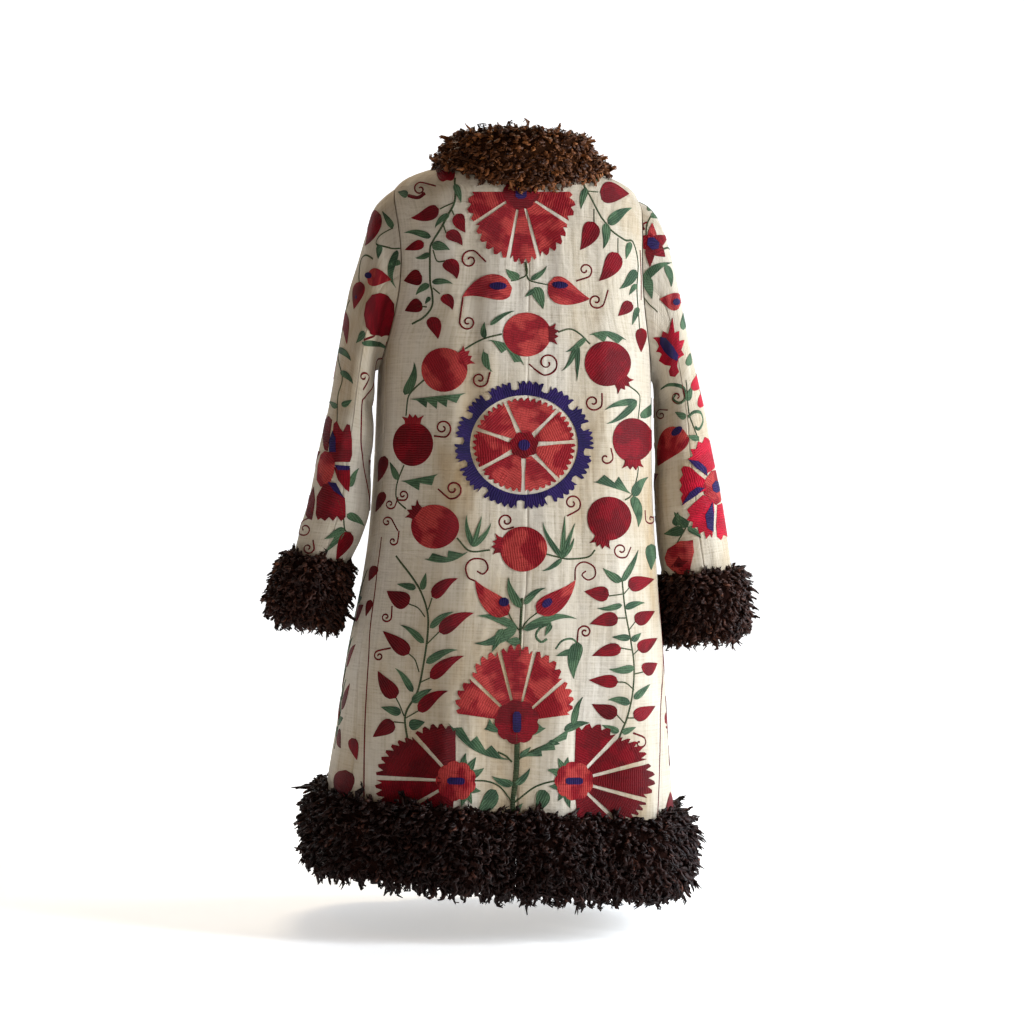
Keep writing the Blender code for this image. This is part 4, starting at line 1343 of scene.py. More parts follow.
def leaf(work, place, item):
    """An almond leaf, round at the stem end and pointed at its tip."""
    root, tip = drawn(item.px, item.py), drawn(item.tip_px, item.tip_py)
    ahead = tip - root
    length = np.linalg.norm(ahead)
    ahead = ahead / max(length, 1e-6)
    side = np.array([-ahead[1], ahead[0]])
    t = np.linspace(0.0, 1.0, 15)
    swell = np.sin(np.pi * t ** 0.62) ** 0.85 * (1.0 - 0.25 * t)
    swell = 0.5 * item.width * swell / swell.max()
    bow = item.bow * length * (4 * t * (1 - t)) * (0.35 + 0.65 * t)
    spine = root + ahead * (t * length)[:, None] + side * bow[:, None]
    left = spine + side * swell[:, None]
    right = spine - side * swell[:, None]
    outline = np.concatenate([left, right[-2:0:-1]])
    work.patch(place.lay(outline), item.thread, math.degrees(math.atan2(ahead[1], ahead[0])) + 90.0)


# A sprig leaf with saw teeth on one side
Saw = namedtuple("Saw", "px py tip_px tip_py width bow teeth")


def saw_leaf(work, place, item):
    """A long green leaf, smooth on its left and toothed on its right."""
    root, tip = drawn(item.px, item.py), drawn(item.tip_px, item.tip_py)
    ahead = tip - root
    length = np.linalg.norm(ahead)
    ahead = ahead / length
    side = np.array([-ahead[1], ahead[0]])

    def spine(t):
        return root + ahead * (t * length) + side * (item.bow * length * 4 * t * (1 - t))

    smooth_edge = [spine(t) + side * (0.28 * item.width * math.sin(math.pi * t)) for t in np.linspace(0, 1, 13)]
    toothed = []
    for k in range(item.teeth):
        a = 0.12 + 0.72 * k / item.teeth
        b = 0.12 + 0.72 * (k + 0.85) / item.teeth
        deep = item.width * (0.95 if item.teeth < 2 else 0.65 + 0.4 * math.sin(math.pi * (k + 0.7) / item.teeth))
        toothed.append(spine(a) - side * (0.22 * item.width * math.sin(math.pi * a) + 0.4))
        toothed.append(spine(b) - side * deep)
    toothed.append(spine(0.9) - side * (0.1 * item.width))
    outline = np.array(smooth_edge + toothed[::-1])
    work.patch(place.lay(outline), "green", math.degrees(math.atan2(ahead[1], ahead[0])) + 75.0)


# A spray of three green leaves from one foot; each tip is a photo place
Spray = namedtuple("Spray", "px py tips width")


def spray(work, place, item):
    for k, (tip_px, tip_py) in enumerate(item.tips):
        bow = (0.10, 0.0, -0.10)[k % 3]
        leaf(work, place, Leaf(item.px, item.py, tip_px, tip_py, item.width, bow, "green"))


# A stem through photo places, with its width
Stem = namedtuple("Stem", "width places thread")


# How much wider a stem's stitching is than the width given for it
STEM_FULLNESS = 1.4


def stem(work, place, item):
    work.line(place.lay(np.array([drawn(px, py) for px, py in item.places])), item.thread,
              STEM_FULLNESS * item.width)


# A free shape through photo places
Shape = namedtuple("Shape", "thread grain places")


def shape(work, place, item):
    outline = np.array([drawn(px, py) for px, py in item.places])
    work.patch(place.lay(outline), item.thread, item.grain, 0.3 if item.thread == "navy" else 0.1)


# A curled tendril: its eye, its outer radius, where its tail ends, its turns and its hand
Curl = namedtuple("Curl", "px py radius tail_px tail_py turns hand")


def curl(work, place, item):
    centre = drawn(item.px, item.py)
    tail = drawn(item.tail_px, item.tail_py)
    away = tail - centre
    end = math.degrees(math.atan2(away[1], away[0])) + 62.0 * item.hand
    t = np.linspace(0.0, 1.0, int(item.turns * 11) + 4)
    bearing = end + item.hand * 360.0 * item.turns * (1.0 - t)
    radius = 1.12 * item.radius * (0.16 + 0.84 * t ** 1.1)
    path = polar(centre, radius, bearing)
    work.line(place.lay(np.concatenate([path, [tail]])), "wine", 3.0)


# A round fruit: its middle, radii, the way its crown points, and its threads
Fruit = namedtuple("Fruit", "px py radius_px tall_px crown_px crown_py thread crown_thread grain")


def fruit(work, place, item):
    """A round fruit with a small pointed crown."""
    centre = drawn(item.px, item.py)
    wide, tall = PIXEL * item.radius_px, PIXEL * item.tall_px
    turn = np.radians(np.arange(0, 360, 10))
    wobble = 1.0 + 0.012 * np.sin(3 * turn + 1.0)
    outline = centre + np.stack([wide * wobble * np.cos(turn), tall * wobble * np.sin(turn)], axis=-1)
    ahead = unit(drawn(item.crown_px, item.crown_py) - centre)
    side = np.array([-ahead[1], ahead[0]])
    base = centre + ahead * (0.5 * (wide + tall) - 2.0)
    points = ((-9, 0), (-10, 8), (-13, 15), (-6, 10.5), (-3, 17), (0, 11), (4, 18), (6, 10.5), (13, 13),
              (10, 7), (9, 0))
    crown = np.array([base + side * (1.2 * x) + ahead * (0.85 * y) for x, y in points])
    work.patch(place.lay(outline), item.thread, item.grain)
    work.patch(place.lay(crown), item.crown_thread, math.degrees(math.atan2(ahead[1], ahead[0])) + 90.0, 0.2)


# A great drop with an eye, ending in a tail: stem end, tip, width, bow, eye and threads
Drop = namedtuple("Drop", "px py tip_px tip_py width bow eye_px eye_py eye_long eye_wide eye_turn thread")


def drop(work, place, item):
    leaf(work, place, Leaf(item.px, item.py, item.tip_px, item.tip_py, item.width, item.bow, item.thread))
    eye = drawn(item.eye_px, item.eye_py)
    t = np.radians(np.arange(0, 360, 24))
    c, s = math.cos(math.radians(item.eye_turn)), math.sin(math.radians(item.eye_turn))
    x, y = 0.5 * item.eye_long * np.cos(t), 0.5 * item.eye_wide * np.sin(t)
    outline = np.stack([eye[0] + x * c - y * s, eye[1] + x * s + y * c], axis=-1)
    work.patch(place.lay(outline), "navy", item.eye_turn, 0.25)


# A fan flower: its heart, a photo place that its axis points at, the turns of its petals' edges
# from the axis, their lengths, the teeth of each petal, where the petals start, the bare gap
# between them, its threads, and the sizes of its heart and of the bar on it
Fan = namedtuple("Fan", "px py axis_px axis_py edges lengths teeth inner gap petal heart "
                        "heart_radius bar_long bar_wide")


def fan(work, place, item):
    """A fan of toothed petals parted by bare cloth, on a round heart with a dark bar."""
    centre = drawn(item.px, item.py)
    towards = drawn(item.axis_px, item.axis_py) - centre
    axis = math.degrees(math.atan2(towards[1], towards[0]))
    for k in range(len(item.edges) - 1):
        start, stop = item.edges[k], item.edges[k + 1]
        first_length, last_length = item.lengths[k], item.lengths[k + 1]
        outline = []
        half_gap = 0.5 * item.gap
        teeth = item.teeth[k]
        low, high = axis + start, axis + stop

        def at(degrees, radius, shift):
            away = polar(centre, radius, degrees)
            turn = math.radians(degrees + 90.0)
            return away + shift * np.array([math.cos(turn), math.sin(turn)])

        inner = item.inner
        trim_low = half_gap if k > 0 else 0.0
        trim_high = half_gap if k < len(item.edges) - 2 else 0.0
        for radius in np.linspace(inner, first_length, 5)[:-1]:
            outline.append(at(low, radius, trim_low * (0.5 + 0.5 * radius / first_length)))
        rim = teeth * 3 + 1
        for m in range(rim):
            share = m / (rim - 1)
            degrees = low + (high - low) * share
            length = first_length + (last_length - first_length) * share
            length += 0.06 * first_length * math.sin(math.pi * share)
            length *= (0.985, 0.915, 1.0)[m % 3]
            shift = trim_low * (1.0 - share) - trim_high * share
            outline.append(at(degrees, length, shift))
        for radius in np.linspace(last_length, inner, 5)[1:]:
            outline.append(at(high, radius, -trim_high * (0.5 + 0.5 * radius / last_length)))
        petal = item.petal if isinstance(item.petal, str) else item.petal[k]
        work.patch(place.lay(np.array(outline)), petal, 0.5 * (low + high))
    t = np.radians(np.arange(0, 360, 8))
    wobble = 0.95 + 0.10 * np.abs(np.sin(4.5 * t)) ** 0.7
    heart = np.stack([centre[0] + item.heart_radius * wobble * np.cos(t),
                      centre[1] + item.heart_radius * wobble * np.sin(t)], axis=-1)
    work.patch(place.lay(heart), item.heart, axis, 0.15)
    c, s = math.cos(math.radians(axis)), math.sin(math.radians(axis))
    long, wide = 0.5 * item.bar_long, 0.5 * item.bar_wide
    corners = ((-long, -0.6 * wide), (-0.7 * long, -wide), (0.7 * long, -wide), (long, -0.5 * wide),
               (long, 0.5 * wide), (0.7 * long, wide), (-0.7 * long, wide), (-long, 0.6 * wide))
    bar = np.array([centre + np.array([x * c - y * s, x * s + y * c]) for x, y in corners])
    work.patch(place.lay(bar), "navy", axis, 0.35)


def rosette(work, place, px, py, wide, tall, ribs_at, notches_at):
    """The great round flower: a saw-edged navy ring with bare ovals, and petals round a core."""
    centre = drawn(px, py)

    def on_oval(degrees, share, out=0.0):
        turn = math.radians(degrees)
        return centre + np.array([(wide * share + out) * math.cos(turn), (tall * share + out) * math.sin(turn)])

    notches = sorted(angle % 360.0 for angle in notches_at)
    for k, start in enumerate(notches):
        stop = notches[(k + 1) % len(notches)] + (360.0 if k == len(notches) - 1 else 0.0)
        outline = [on_oval(degrees, 0.775) for degrees in np.linspace(start, stop, 7)]
        teeth = max(3, int(round((stop - start) / 7.0)))
        low, high = start + 3.2, stop - 3.2
        rim = [on_oval(stop - 0.1, 0.86), on_oval(high - 0.4, 0.88)]
        for m in range(teeth * 3 + 1):
            degrees = high + (low - high) * m / (teeth * 3)
            rim.append(on_oval(degrees, (0.99, 0.945, 1.0)[m % 3], 0.8 * math.sin(3.7 * m + k)))
        rim += [on_oval(low + 0.4, 0.88), on_oval(start + 0.1, 0.86)]
        work.patch(place.lay(np.array(outline + rim)), "navy", 0.5 * (start + stop) + 90.0)
    edges = sorted(angle % 360.0 for angle in ribs_at)
    for k, start in enumerate(edges):
        stop = edges[(k + 1) % len(edges)] + (360.0 if k == len(edges) - 1 else 0.0)
        middle = math.radians(0.5 * (start + stop))
        shift = np.array([math.cos(middle), math.sin(middle)]) * 2.6
        outline = [on_oval(start + 9.0, 0.17) + shift, on_oval(start + 2.0, 0.45) + 0.7 * shift,
                   on_oval(start + 2.2, 0.66) + 0.2 * shift]
        teeth = max(4, int(round((stop - start) / 8.5)))
        for m in range(teeth * 3 + 1):
            degrees = start + 2.6 + (stop - start - 5.2) * m / (teeth * 3)
            outline.append(on_oval(degrees, (0.728, 0.68, 0.735)[m % 3], 0.7 * math.sin(2.3 * m + k)))
        outline += [on_oval(stop - 2.2, 0.66) + 0.2 * shift, on_oval(stop - 2.0, 0.45) + 0.7 * shift,
                    on_oval(stop - 9.0, 0.17) + shift]
        work.patch(place.lay(np.array(outline)), "coral", math.degrees(middle))
    heart = np.array([on_oval(d, 0.20, 1.5 * math.sin(math.radians(7 * d))) for d in range(0, 360, 12)])
    work.patch(place.lay(heart), "crimson", 30.0, 0.2)
    work.patch(place.lay(np.array([on_oval(d, 0.085) for d in range(0, 360, 30)])), "navy", 0.0, 0.45)


# The drawing on the back, at the places where the photograph shows it
BACK_FANS = (
    Fan(521, 192, 521, 262, (-90, -56, -11, 15, 57, 90), (72, 82, 99, 99, 82, 72), (3, 5, 4, 5, 3), 20, 6,
        "coral", "crimson", 25, 20, 16),
    Fan(517, 722, 517, 650, (-82, -48, -14, 14, 46, 82), (78, 92, 107, 107, 94, 88), (4, 4, 4, 4, 4), 24, 6,
        "coral", "crimson", 31, 30, 12),
    Fan(456, 781, 376, 779, (-88, -46, -1, 31, 85), (76, 92, 117, 100, 80), (5, 7, 5, 5), 20, 7,
        ("wine", "wine", "crimson", "crimson"), "coral", 28, 25, 10),
    Fan(574, 781, 654, 781, (-85, -43, -15, 15, 46, 88), (76, 88, 110, 112, 92, 76), (4, 5, 4, 5, 4), 20, 7,
        ("crimson", "wine", "wine", "crimson", "crimson"), "coral", 27, 25, 10),
)
BACK_FRUITS = (
    Fruit(526.8, 334.5, 24, 22, 558, 334, "coral", "crimson", 80),
    Fruit(444.3, 369.8, 23, 22, 469, 355, "coral", "coral", 30),
    Fruit(607.5, 363.6, 23, 22.5, 625, 386, "crimson", "crimson", -40),
    Fruit(413, 444, 20, 22, 413, 418, "crimson", "coral", 90),
    Fruit(632.5, 440, 20, 22, 632.5, 467, "crimson", "crimson", 90),
    Fruit(435, 526.6, 24, 22, 413, 510, "coral", "crimson", 60),
    Fruit(609, 518.5, 22, 22, 600, 545, "crimson", "crimson", 20),
    Fruit(523.4, 549, 23.5, 22.5, 494, 544, "coral", "crimson", 10),
)
BACK_DROPS = (
    Drop(512, 288, 462, 297, 38, -0.16, 498, 286, 25, 11, 0, "coral"),
    Drop(548, 284, 590, 299, 38, -0.10, 560, 285, 23, 10, -4, "coral"),
    Drop(508, 615, 475, 580, 31, 0.10, 504, 602, 15, 13, 0, "coral"),
    Drop(537, 613, 575.5, 580, 31, -0.10, 547, 603, 17, 11, 40, "coral"),
)
VINE_LEFT = (
    Leaf(439, 209, 411, 218, 20, 0.10, "crimson"), Leaf(457, 214, 465.5, 232.5, 19, -0.10, "crimson"),
    Leaf(447, 232, 462.5, 245.5, 18, 0.15, "crimson"), Leaf(424, 243, 405, 250, 14, 0, "crimson"),
    Leaf(446, 260, 457, 279, 22, 0.16, "crimson"), Leaf(422, 276, 404, 281, 23, 0, "wine"),
    Leaf(443, 295, 452.5, 310, 17, 0.16, "crimson"), Leaf(422, 303, 405, 311, 20, 0, "wine"),
    Leaf(431, 317, 438, 339, 20, 0.08, "crimson"), Leaf(455, 184, 461, 203, 10, 0.05, "green"),
    Leaf(449, 214, 435, 228, 9, -0.12, "green"), Leaf(431, 237, 404, 233, 10, -0.12, "green"),
    Leaf(432, 245, 450, 250, 14, 0.1, "green"), Leaf(430, 254, 415, 258, 8, 0.1, "green"),
    Leaf(432, 282, 453, 284, 9, 0.12, "green"), Leaf(429, 284, 416, 295, 10, -0.1, "green"),
    Leaf(430, 297, 425, 304, 6, 0, "green"), Leaf(408, 195, 398, 192, 11, 0, "green"),
    Leaf(447, 180, 436, 168, 15, 0.05, "crimson"), Leaf(447, 180, 455, 167, 15, 0, "crimson"),
)
VINE_LEFT_STEMS = (
    Stem(2.6, ((455, 178), (455, 200), (448, 215), (441, 228), (433, 241), (430, 250), (430, 280), (432, 292),
               (432, 306), (424, 317), (412, 324)), "olive"),
    Stem(1.8, ((455, 202), (448, 205), (440, 209)), "olive"), Stem(1.8, ((451, 208), (454, 215)), "olive"),
    Stem(1.8, ((443, 224), (446, 233)), "olive"), Stem(1.8, ((433, 250), (437, 261), (445, 261)), "olive"),
    Stem(1.8, ((433, 288), (440, 294)), "olive"), Stem(1.8, ((427, 307), (417, 306)), "olive"),
)
VINE_RIGHT = (
    Leaf(600, 192, 629, 194, 31, 0, "crimson"), Leaf(594, 222, 580, 250, 26, 0.10, "crimson"),
    Leaf(618, 253, 599, 281, 26, 0.10, "crimson"), Leaf(631, 302, 618, 316, 17, 0.05, "crimson"),
    Leaf(641, 328, 641, 352, 16, 0, "crimson"), Leaf(586, 188, 581, 209, 10, -0.05, "green"),
    Leaf(608, 224, 632, 208, 16, 0.10, "green"), Leaf(606, 223, 603, 249, 12, 0.10, "green"),
    Leaf(630, 242, 626, 259, 9, 0, "green"), Leaf(636, 270, 619, 289, 14, 0.12, "green"),
    Leaf(636, 284, 629, 295, 7, 0, "green"), Leaf(638, 307, 632, 325, 8, 0, "green"),
    Leaf(592, 182, 602, 176, 7, 0, "green"),
)
VINE_RIGHT_STEMS = (
    Stem(2.6, ((579, 166), (583, 180), (590, 196), (600, 215), (605, 222), (612, 231), (625, 240), (633, 242),
               (638, 262), (637, 290), (639, 320), (640, 333)), "olive"),
    Stem(1.8, ((587, 191), (598, 192)), "olive"), Stem(1.8, ((594, 209), (594, 222)), "olive"),
    Stem(1.8, ((618, 238), (618, 253)), "olive"),
    Stem(1.8, ((526, 262), (527, 274), (519, 279), (511, 281)), "olive"),
    Stem(1.8, ((525, 262), (527, 275), (531, 281), (549, 285)), "olive"),
)
BACK_GREENS = (
    Leaf(519, 279, 506, 269, 13, 0.1, "green"), Leaf(531, 280, 547, 266, 8, -0.1, "green"),
    Leaf(535, 287, 543, 309, 17, 0.05, "green"), Leaf(534, 290, 525, 297, 7, 0, "green"),
    Leaf(484, 338, 485, 322, 9, 0.1, "green"), Leaf(490, 325, 515, 311, 7, 0.1, "green"),
    Leaf(405, 395, 414, 362, 13, -0.14, "green"), Leaf(586, 338, 565, 352, 8, 0.1, "green"),
    Leaf(577, 345, 562, 371, 8, 0.1, "green"), Leaf(578, 345, 577, 381, 7, 0, "green"),
    Leaf(637, 401, 605, 410, 10, -0.1, "green"), Leaf(637, 402, 606, 424, 10, 0.1, "green"),
    Leaf(641, 418, 656, 397, 13, -0.15, "green"), Leaf(398, 480, 390, 462, 9, 0, "green"),
    Leaf(473, 547, 467, 515, 8, 0.1, "green"), Leaf(473, 547, 482, 516, 7, 0, "green"),
    Leaf(473, 547, 491, 523, 8, -0.1, "green"), Leaf(633, 496, 648, 477, 14, 0.12, "green"),
    Leaf(633, 496, 638, 527, 14, 0.12, "green"), Leaf(562, 558, 543, 522, 8, 0.1, "green"),
    Leaf(562, 558, 565, 516, 7, 0, "green"), Leaf(562, 558, 575, 523, 7, 0, "green"),
    Leaf(562, 558, 574, 538, 7, -0.1, "green"), Leaf(562, 559, 542, 571, 7, 0.1, "green"),
    Leaf(651, 544, 651, 570, 16, 0, "green"), Leaf(521, 608, 509, 577, 13, 0.14, "green"),
    Leaf(524, 604, 546, 588, 10, 0.14, "green"), Leaf(520, 642, 506, 641, 13, 0, "green"),
    Leaf(517, 627, 477, 616, 12, -0.10, "green"), Leaf(517, 628, 474, 643, 16, 0.14, "green"),
    Leaf(503, 629, 492, 652, 13, 0, "green"), Leaf(523, 630, 577, 619, 13, 0.16, "green"),
    Leaf(551, 624, 545, 636, 8, 0, "green"), Leaf(578, 642, 574, 679, 20, -0.10, "green"),
    Leaf(572, 651, 556, 656, 9, 0, "green"), Leaf(513, 785, 492, 776, 12, 0.1, "green"),
    Leaf(516, 785, 530, 768, 10, -0.1, "green"), Leaf(496, 790, 473, 817, 22, 0.12, "green"),
    Leaf(545, 790, 535, 813, 21, 0.1, "green"), Leaf(513, 822, 523, 803, 12, 0.1, "green"),
    Leaf(520, 757, 531, 747, 8, 0, "green"), Leaf(573, 725, 583, 697, 10, 0.1, "green"),
    Leaf(564, 730, 590, 723, 12, 0.1, "green"), Leaf(549, 742, 560, 744, 8, 0, "green"),
)
BACK_SAWS = (
    Saw(488, 340, 524, 365, 12, 0.12, 2), Saw(410, 399, 466, 393, 14, -0.05, 4),
    Saw(589, 335, 626, 340, 13, 0.10, 2),
    Saw(401, 481, 438, 474, 14, -0.08, 2), Saw(468, 552, 424, 559, 13, 0.10, 2),
    Saw(631, 494, 593, 482, 14, -0.08, 2),
    Saw(508, 731, 484, 729, 18, -0.05, 3), Saw(546, 728, 524, 737, 17, -0.05, 3),
    Saw(510, 760, 448, 723, 15, 0.10, 3),
    Saw(520, 758, 572, 726, 11, -0.06, 3), Saw(493, 372, 484, 349, 9, 0.20, 1),
)
BACK_SPRAYS = (
    Spray(464, 777, ((466, 753), (476, 757), (484, 768)), 14),
    Spray(463, 785, ((461, 807), (472, 804), (481, 791)), 14),
    Spray(568, 778, ((568, 757), (558, 758), (547, 770)), 14),
    Spray(568, 784, ((549, 786), (558, 801), (570, 808)), 14),
)
BACK_STEMS = (
    Stem(2.2, ((502, 334), (486, 338), (475, 343), (465, 349)), "olive"),
    Stem(2.2, ((558, 332), (570, 329), (580, 334), (590, 344)), "olive"),
    Stem(2.2, ((424, 380), (413, 390), (408, 398), (406, 416)), "olive"),
    Stem(2.2, ((626, 384), (638, 393), (640, 400), (638, 420)), "olive"),
    Stem(2.2, ((406, 509), (397, 500), (396, 490), (398, 480), (404, 465)), "olive"),
    Stem(2.2, ((457, 538), (470, 551), (490, 550)), "olive"),
    Stem(2.2, ((625, 500), (632, 494), (638, 472), (637, 462)), "olive"),
    Stem(2.2, ((595, 550), (588, 557), (570, 559), (562, 558), (546, 554)), "olive"),
    Stem(3.2, ((522, 598), (520.5, 628), (520, 656)), "olive"),
    Stem(1.8, ((508, 612), (513, 622), (519, 630)), "olive"),
    Stem(1.8, ((537, 613), (528, 620), (521, 630)), "olive"),
    Stem(6.0, ((517, 730), (516, 770), (513, 800), (512, 832)), "olive"),
    Stem(2.4, ((512, 762), (506, 756), (498, 752)), "olive"),
    Stem(2.4, ((517, 760), (530, 752), (548, 744)), "olive"),
    Stem(2.2, ((512, 802), (500, 787), (485, 781), (463, 781)), "olive"),
    Stem(2.2, ((515, 802), (535, 787), (555, 781), (568, 782)), "olive"),
    Stem(2.4, ((555.6, 649), (562, 641), (572, 639), (580, 646)), "green"),
    Stem(3.0, ((551, 623), (540, 628), (536, 636), (541, 642), (547, 639)), "green"),
)
BACK_CURLS = (
    Curl(470, 260, 13, 486, 262, 1.3, 1), Curl(479.6, 379, 11, 490, 372, 1.3, -1),
    Curl(442.5, 428, 12, 434, 436, 1.4, 1),
    Curl(547, 363, 16, 529, 364, 1.4, 1), Curl(593, 402, 12, 602, 393, 1.3, -1),
    Curl(606, 458, 9, 611, 448, 0.9, -1),
    Curl(453, 489, 13, 438, 489, 1.4, 1), Curl(506.4, 521, 11, 514, 527, 1.3, -1),
    Curl(572, 503, 12, 567, 516, 1.3, 1),
    Curl(621, 550, 11, 631, 547, 1.3, -1), Curl(403, 495, 7, 398, 500, 1.2, 1),
    Curl(390, 504, 7, 398, 497, 1.2, -1),
    Curl(387, 522, 7, 398, 531, 1.2, 1), Curl(393, 541, 6, 399, 531, 1.1, -1),
    Curl(651, 519, 7, 645, 510, 1.1, 1),
    Curl(379, 656, 7, 391, 648, 1.3, 1), Curl(386, 617, 7, 392, 606, 1.3, -1),
    Curl(585, 632, 9, 577, 643, 1.4, -1),
    Curl(640, 743, 9, 633, 733, 0.9, -1), Curl(569, 818, 7, 571, 829, 1.2, 1),
    Curl(585, 270, 10, 576, 281, 1.2, 1),
    Curl(596, 300.6, 11, 608, 290, 1.3, -1), Curl(468, 322, 11, 463, 297, 1.4, 1),
    Curl(420, 189, 9, 436, 186, 1.2, 1),
)
BACK_TENDRILS = (
    Stem(2.0, ((475, 581), (468, 577), (466, 566), (473, 559), (484, 560), (488, 568), (483, 574), (477, 571)), "wine"),
    Stem(2.0, ((575, 580), (576, 567), (584, 562), (594, 567), (595, 576), (588, 580), (582, 575), (586, 571)), "wine"),
    Stem(5.0, ((425, 193), (418, 197.5), (408, 195.5)), "wine"),
    Stem(1.6, ((640, 250), (641, 275), (641, 300)), "wine"),
    Stem(2.0, ((381.5, 537), (378, 565), (375, 591), (370.6, 624), (368.5, 658), (366, 700), (364.6, 732), (364, 770),
               (364, 810)), "wine"),
    Stem(2.0, ((662, 590), (663, 633), (661, 699), (660, 740), (659, 782), (656, 836)), "wine"),
)
BRANCH_LEFT = (
    Leaf(409, 604, 387, 591, 26, 0.05, "wine"), Leaf(432, 597, 458, 578.5, 19, 0.12, "crimson"),
    Leaf(439, 632, 474, 613, 22, 0.10, "crimson"), Leaf(409, 654, 383, 631, 22, 0, "wine"),
    Leaf(430, 678, 464, 656, 19, 0.10, "crimson"), Leaf(396, 698, 378, 671, 23, 0.05, "wine"),
    Leaf(418, 711, 448, 691, 19, 0.12, "crimson"), Leaf(394, 722, 373, 737, 22, 0, "wine"),
    Leaf(416, 588, 397, 584, 10, 0, "green"), Leaf(422, 590, 426, 573, 9, 0, "green"),
    Leaf(430, 628, 454, 612, 10, 0.12, "green"), Leaf(424, 643, 400, 625, 10, -0.10, "green"),
    Leaf(426, 663, 458, 650, 12, 0.12, "green"), Leaf(413, 692, 395, 668, 10, -0.08, "green"),
    Leaf(412, 702, 432, 689, 13, 0.05, "green"), Leaf(401, 713, 381, 707, 13, 0, "green"),
    Leaf(409, 726, 425, 722, 16, 0, "green"),
)
BRANCH_LEFT_STEMS = (
    Stem(2.6, ((396, 556), (409, 573), (420, 590), (427, 610), (428, 628), (425, 655), (418, 690), (407, 710),
               (405, 722), (408, 742)), "olive"),
    Stem(1.6, ((425, 617), (418, 608), (409, 604)), "olive"), Stem(1.6, ((428, 610), (432, 598)), "olive"),
    Stem(1.6, ((427, 644), (439, 632)), "olive"), Stem(1.6, ((419, 672), (415, 660), (409, 654)), "olive"),
    Stem(1.6, ((421, 682), (430, 678)), "olive"), Stem(1.6, ((404, 716), (400, 706), (396, 698)), "olive"),
    Stem(1.6, ((406, 718), (418, 711)), "olive"), Stem(1.6, ((405, 723), (394, 722)), "olive"),
)
BRANCH_RIGHT = (
    Leaf(609, 595, 584.5, 591.5, 22, 0, "crimson"), Leaf(628, 586, 654, 579, 22, 0, "crimson"),
    Leaf(635, 622, 654.5, 611, 20, 0, "crimson"), Leaf(618, 618, 590, 624, 21, -0.05, "crimson"),
    Leaf(621, 648, 592, 656, 19, -0.05, "crimson"), Leaf(638, 650, 657, 638, 19, 0, "crimson"),
    Leaf(618, 682, 589, 680, 19, 0, "crimson"), Leaf(643, 672, 657, 663, 20, 0, "crimson"),
    Leaf(617, 715, 592, 704, 22, 0.05, "wine"), Leaf(634, 718, 655, 706, 20, 0, "crimson"),
    Leaf(621, 582, 603, 568, 12, 0.05, "green"), Leaf(622, 582, 638, 550, 9, -0.05, "green"),
    Leaf(622, 605, 597, 608, 9, 0.1, "green"), Leaf(625, 608, 645, 603, 10, 0.1, "green"),
    Leaf(630, 638, 612, 637, 10, 0, "green"), Leaf(632, 641, 641, 633, 9, 0, "green"),
    Leaf(634, 668, 609, 669, 12, 0.1, "green"), Leaf(630, 703, 608, 700, 12, -0.1, "green"),
    Leaf(634, 699, 650, 684, 10, 0, "green"), Leaf(619, 732, 602, 725, 10, 0, "green"),
    Leaf(622, 733, 636, 727, 9, 0, "green"),
)
BRANCH_RIGHT_STEMS = (
    Stem(2.6, ((622, 578), (624, 600), (626, 615), (631, 642), (634, 665), (633, 690), (628, 715), (621, 733),
               (618, 742)), "olive"),
    Stem(1.6, ((623, 594), (609, 596)), "olive"), Stem(1.6, ((624, 594), (629, 588)), "olive"),
    Stem(1.6, ((626, 618), (618, 618)), "olive"), Stem(1.6, ((629, 630), (635, 622)), "olive"),
    Stem(1.6, ((632, 650), (621, 648)), "olive"), Stem(1.6, ((633, 655), (638, 650)), "olive"),
    Stem(1.6, ((634, 690), (626, 683), (618, 682)), "olive"), Stem(1.6, ((634, 674), (643, 672)), "olive"),
    Stem(1.6, ((625, 724), (617, 715)), "olive"), Stem(1.6, ((628, 718), (634, 718)), "olive"),
)
GORE_BUDS = (
    Leaf(385, 456, 378, 482, 14, 0.05, "wine"), Leaf(384, 492, 376, 512, 12, 0, "wine"),
    Leaf(376, 566, 369, 581, 12, 0, "crimson"), Leaf(668, 711, 668, 735, 10, 0, "crimson"),
    Leaf(671, 822, 670, 792, 16, 0, "crimson"), Leaf(352, 738, 357, 760, 14, 0, "crimson"),
    Leaf(346, 770, 340, 805, 30, 0, "wine"), Leaf(371, 600, 366, 616, 9, 0, "wine"),
)
LEFT_SLEEVE_LEAVES = (
    Leaf(377, 211, 365, 246, 20, 0.10, "crimson"), Leaf(393, 228, 382, 211, 9, 0, "green"),
    Leaf(380, 245, 378, 259, 9, 0, "green"), Leaf(397, 250, 396, 288, 11, -0.22, "green"),
    Leaf(401, 262, 388, 265, 8, 0, "green"), Leaf(361, 282, 354, 309, 17, 0, "crimson"),
    Leaf(345, 313, 347, 344, 10, 0, "crimson"), Leaf(364, 331, 356, 343, 9, 0.1, "green"),
    Leaf(362, 343, 388, 350, 9, 0.14, "green"), Leaf(338, 348, 351, 361, 9, 0.1, "green"),
    Leaf(341, 371, 353, 384, 9, 0.1, "green"), Leaf(342, 406, 352, 400, 9, 0, "green"),
    Leaf(337, 408, 330, 401, 8, 0, "green"), Leaf(344, 528, 324, 539, 10, 0.05, "green"),
    Leaf(344, 529, 325, 552, 10, 0.05, "green"), Leaf(350, 532, 336, 560, 20, 0, "crimson"),
    Leaf(347, 514, 364, 526, 12, 0.1, "green"), Leaf(350, 487, 359, 468, 9, 0.1, "green"),
)
LEFT_SLEEVE_DROPS = (
    Drop(367, 277, 391, 280, 26, 0.06, 368.5, 275.6, 10, 9, 0, "coral"),
)
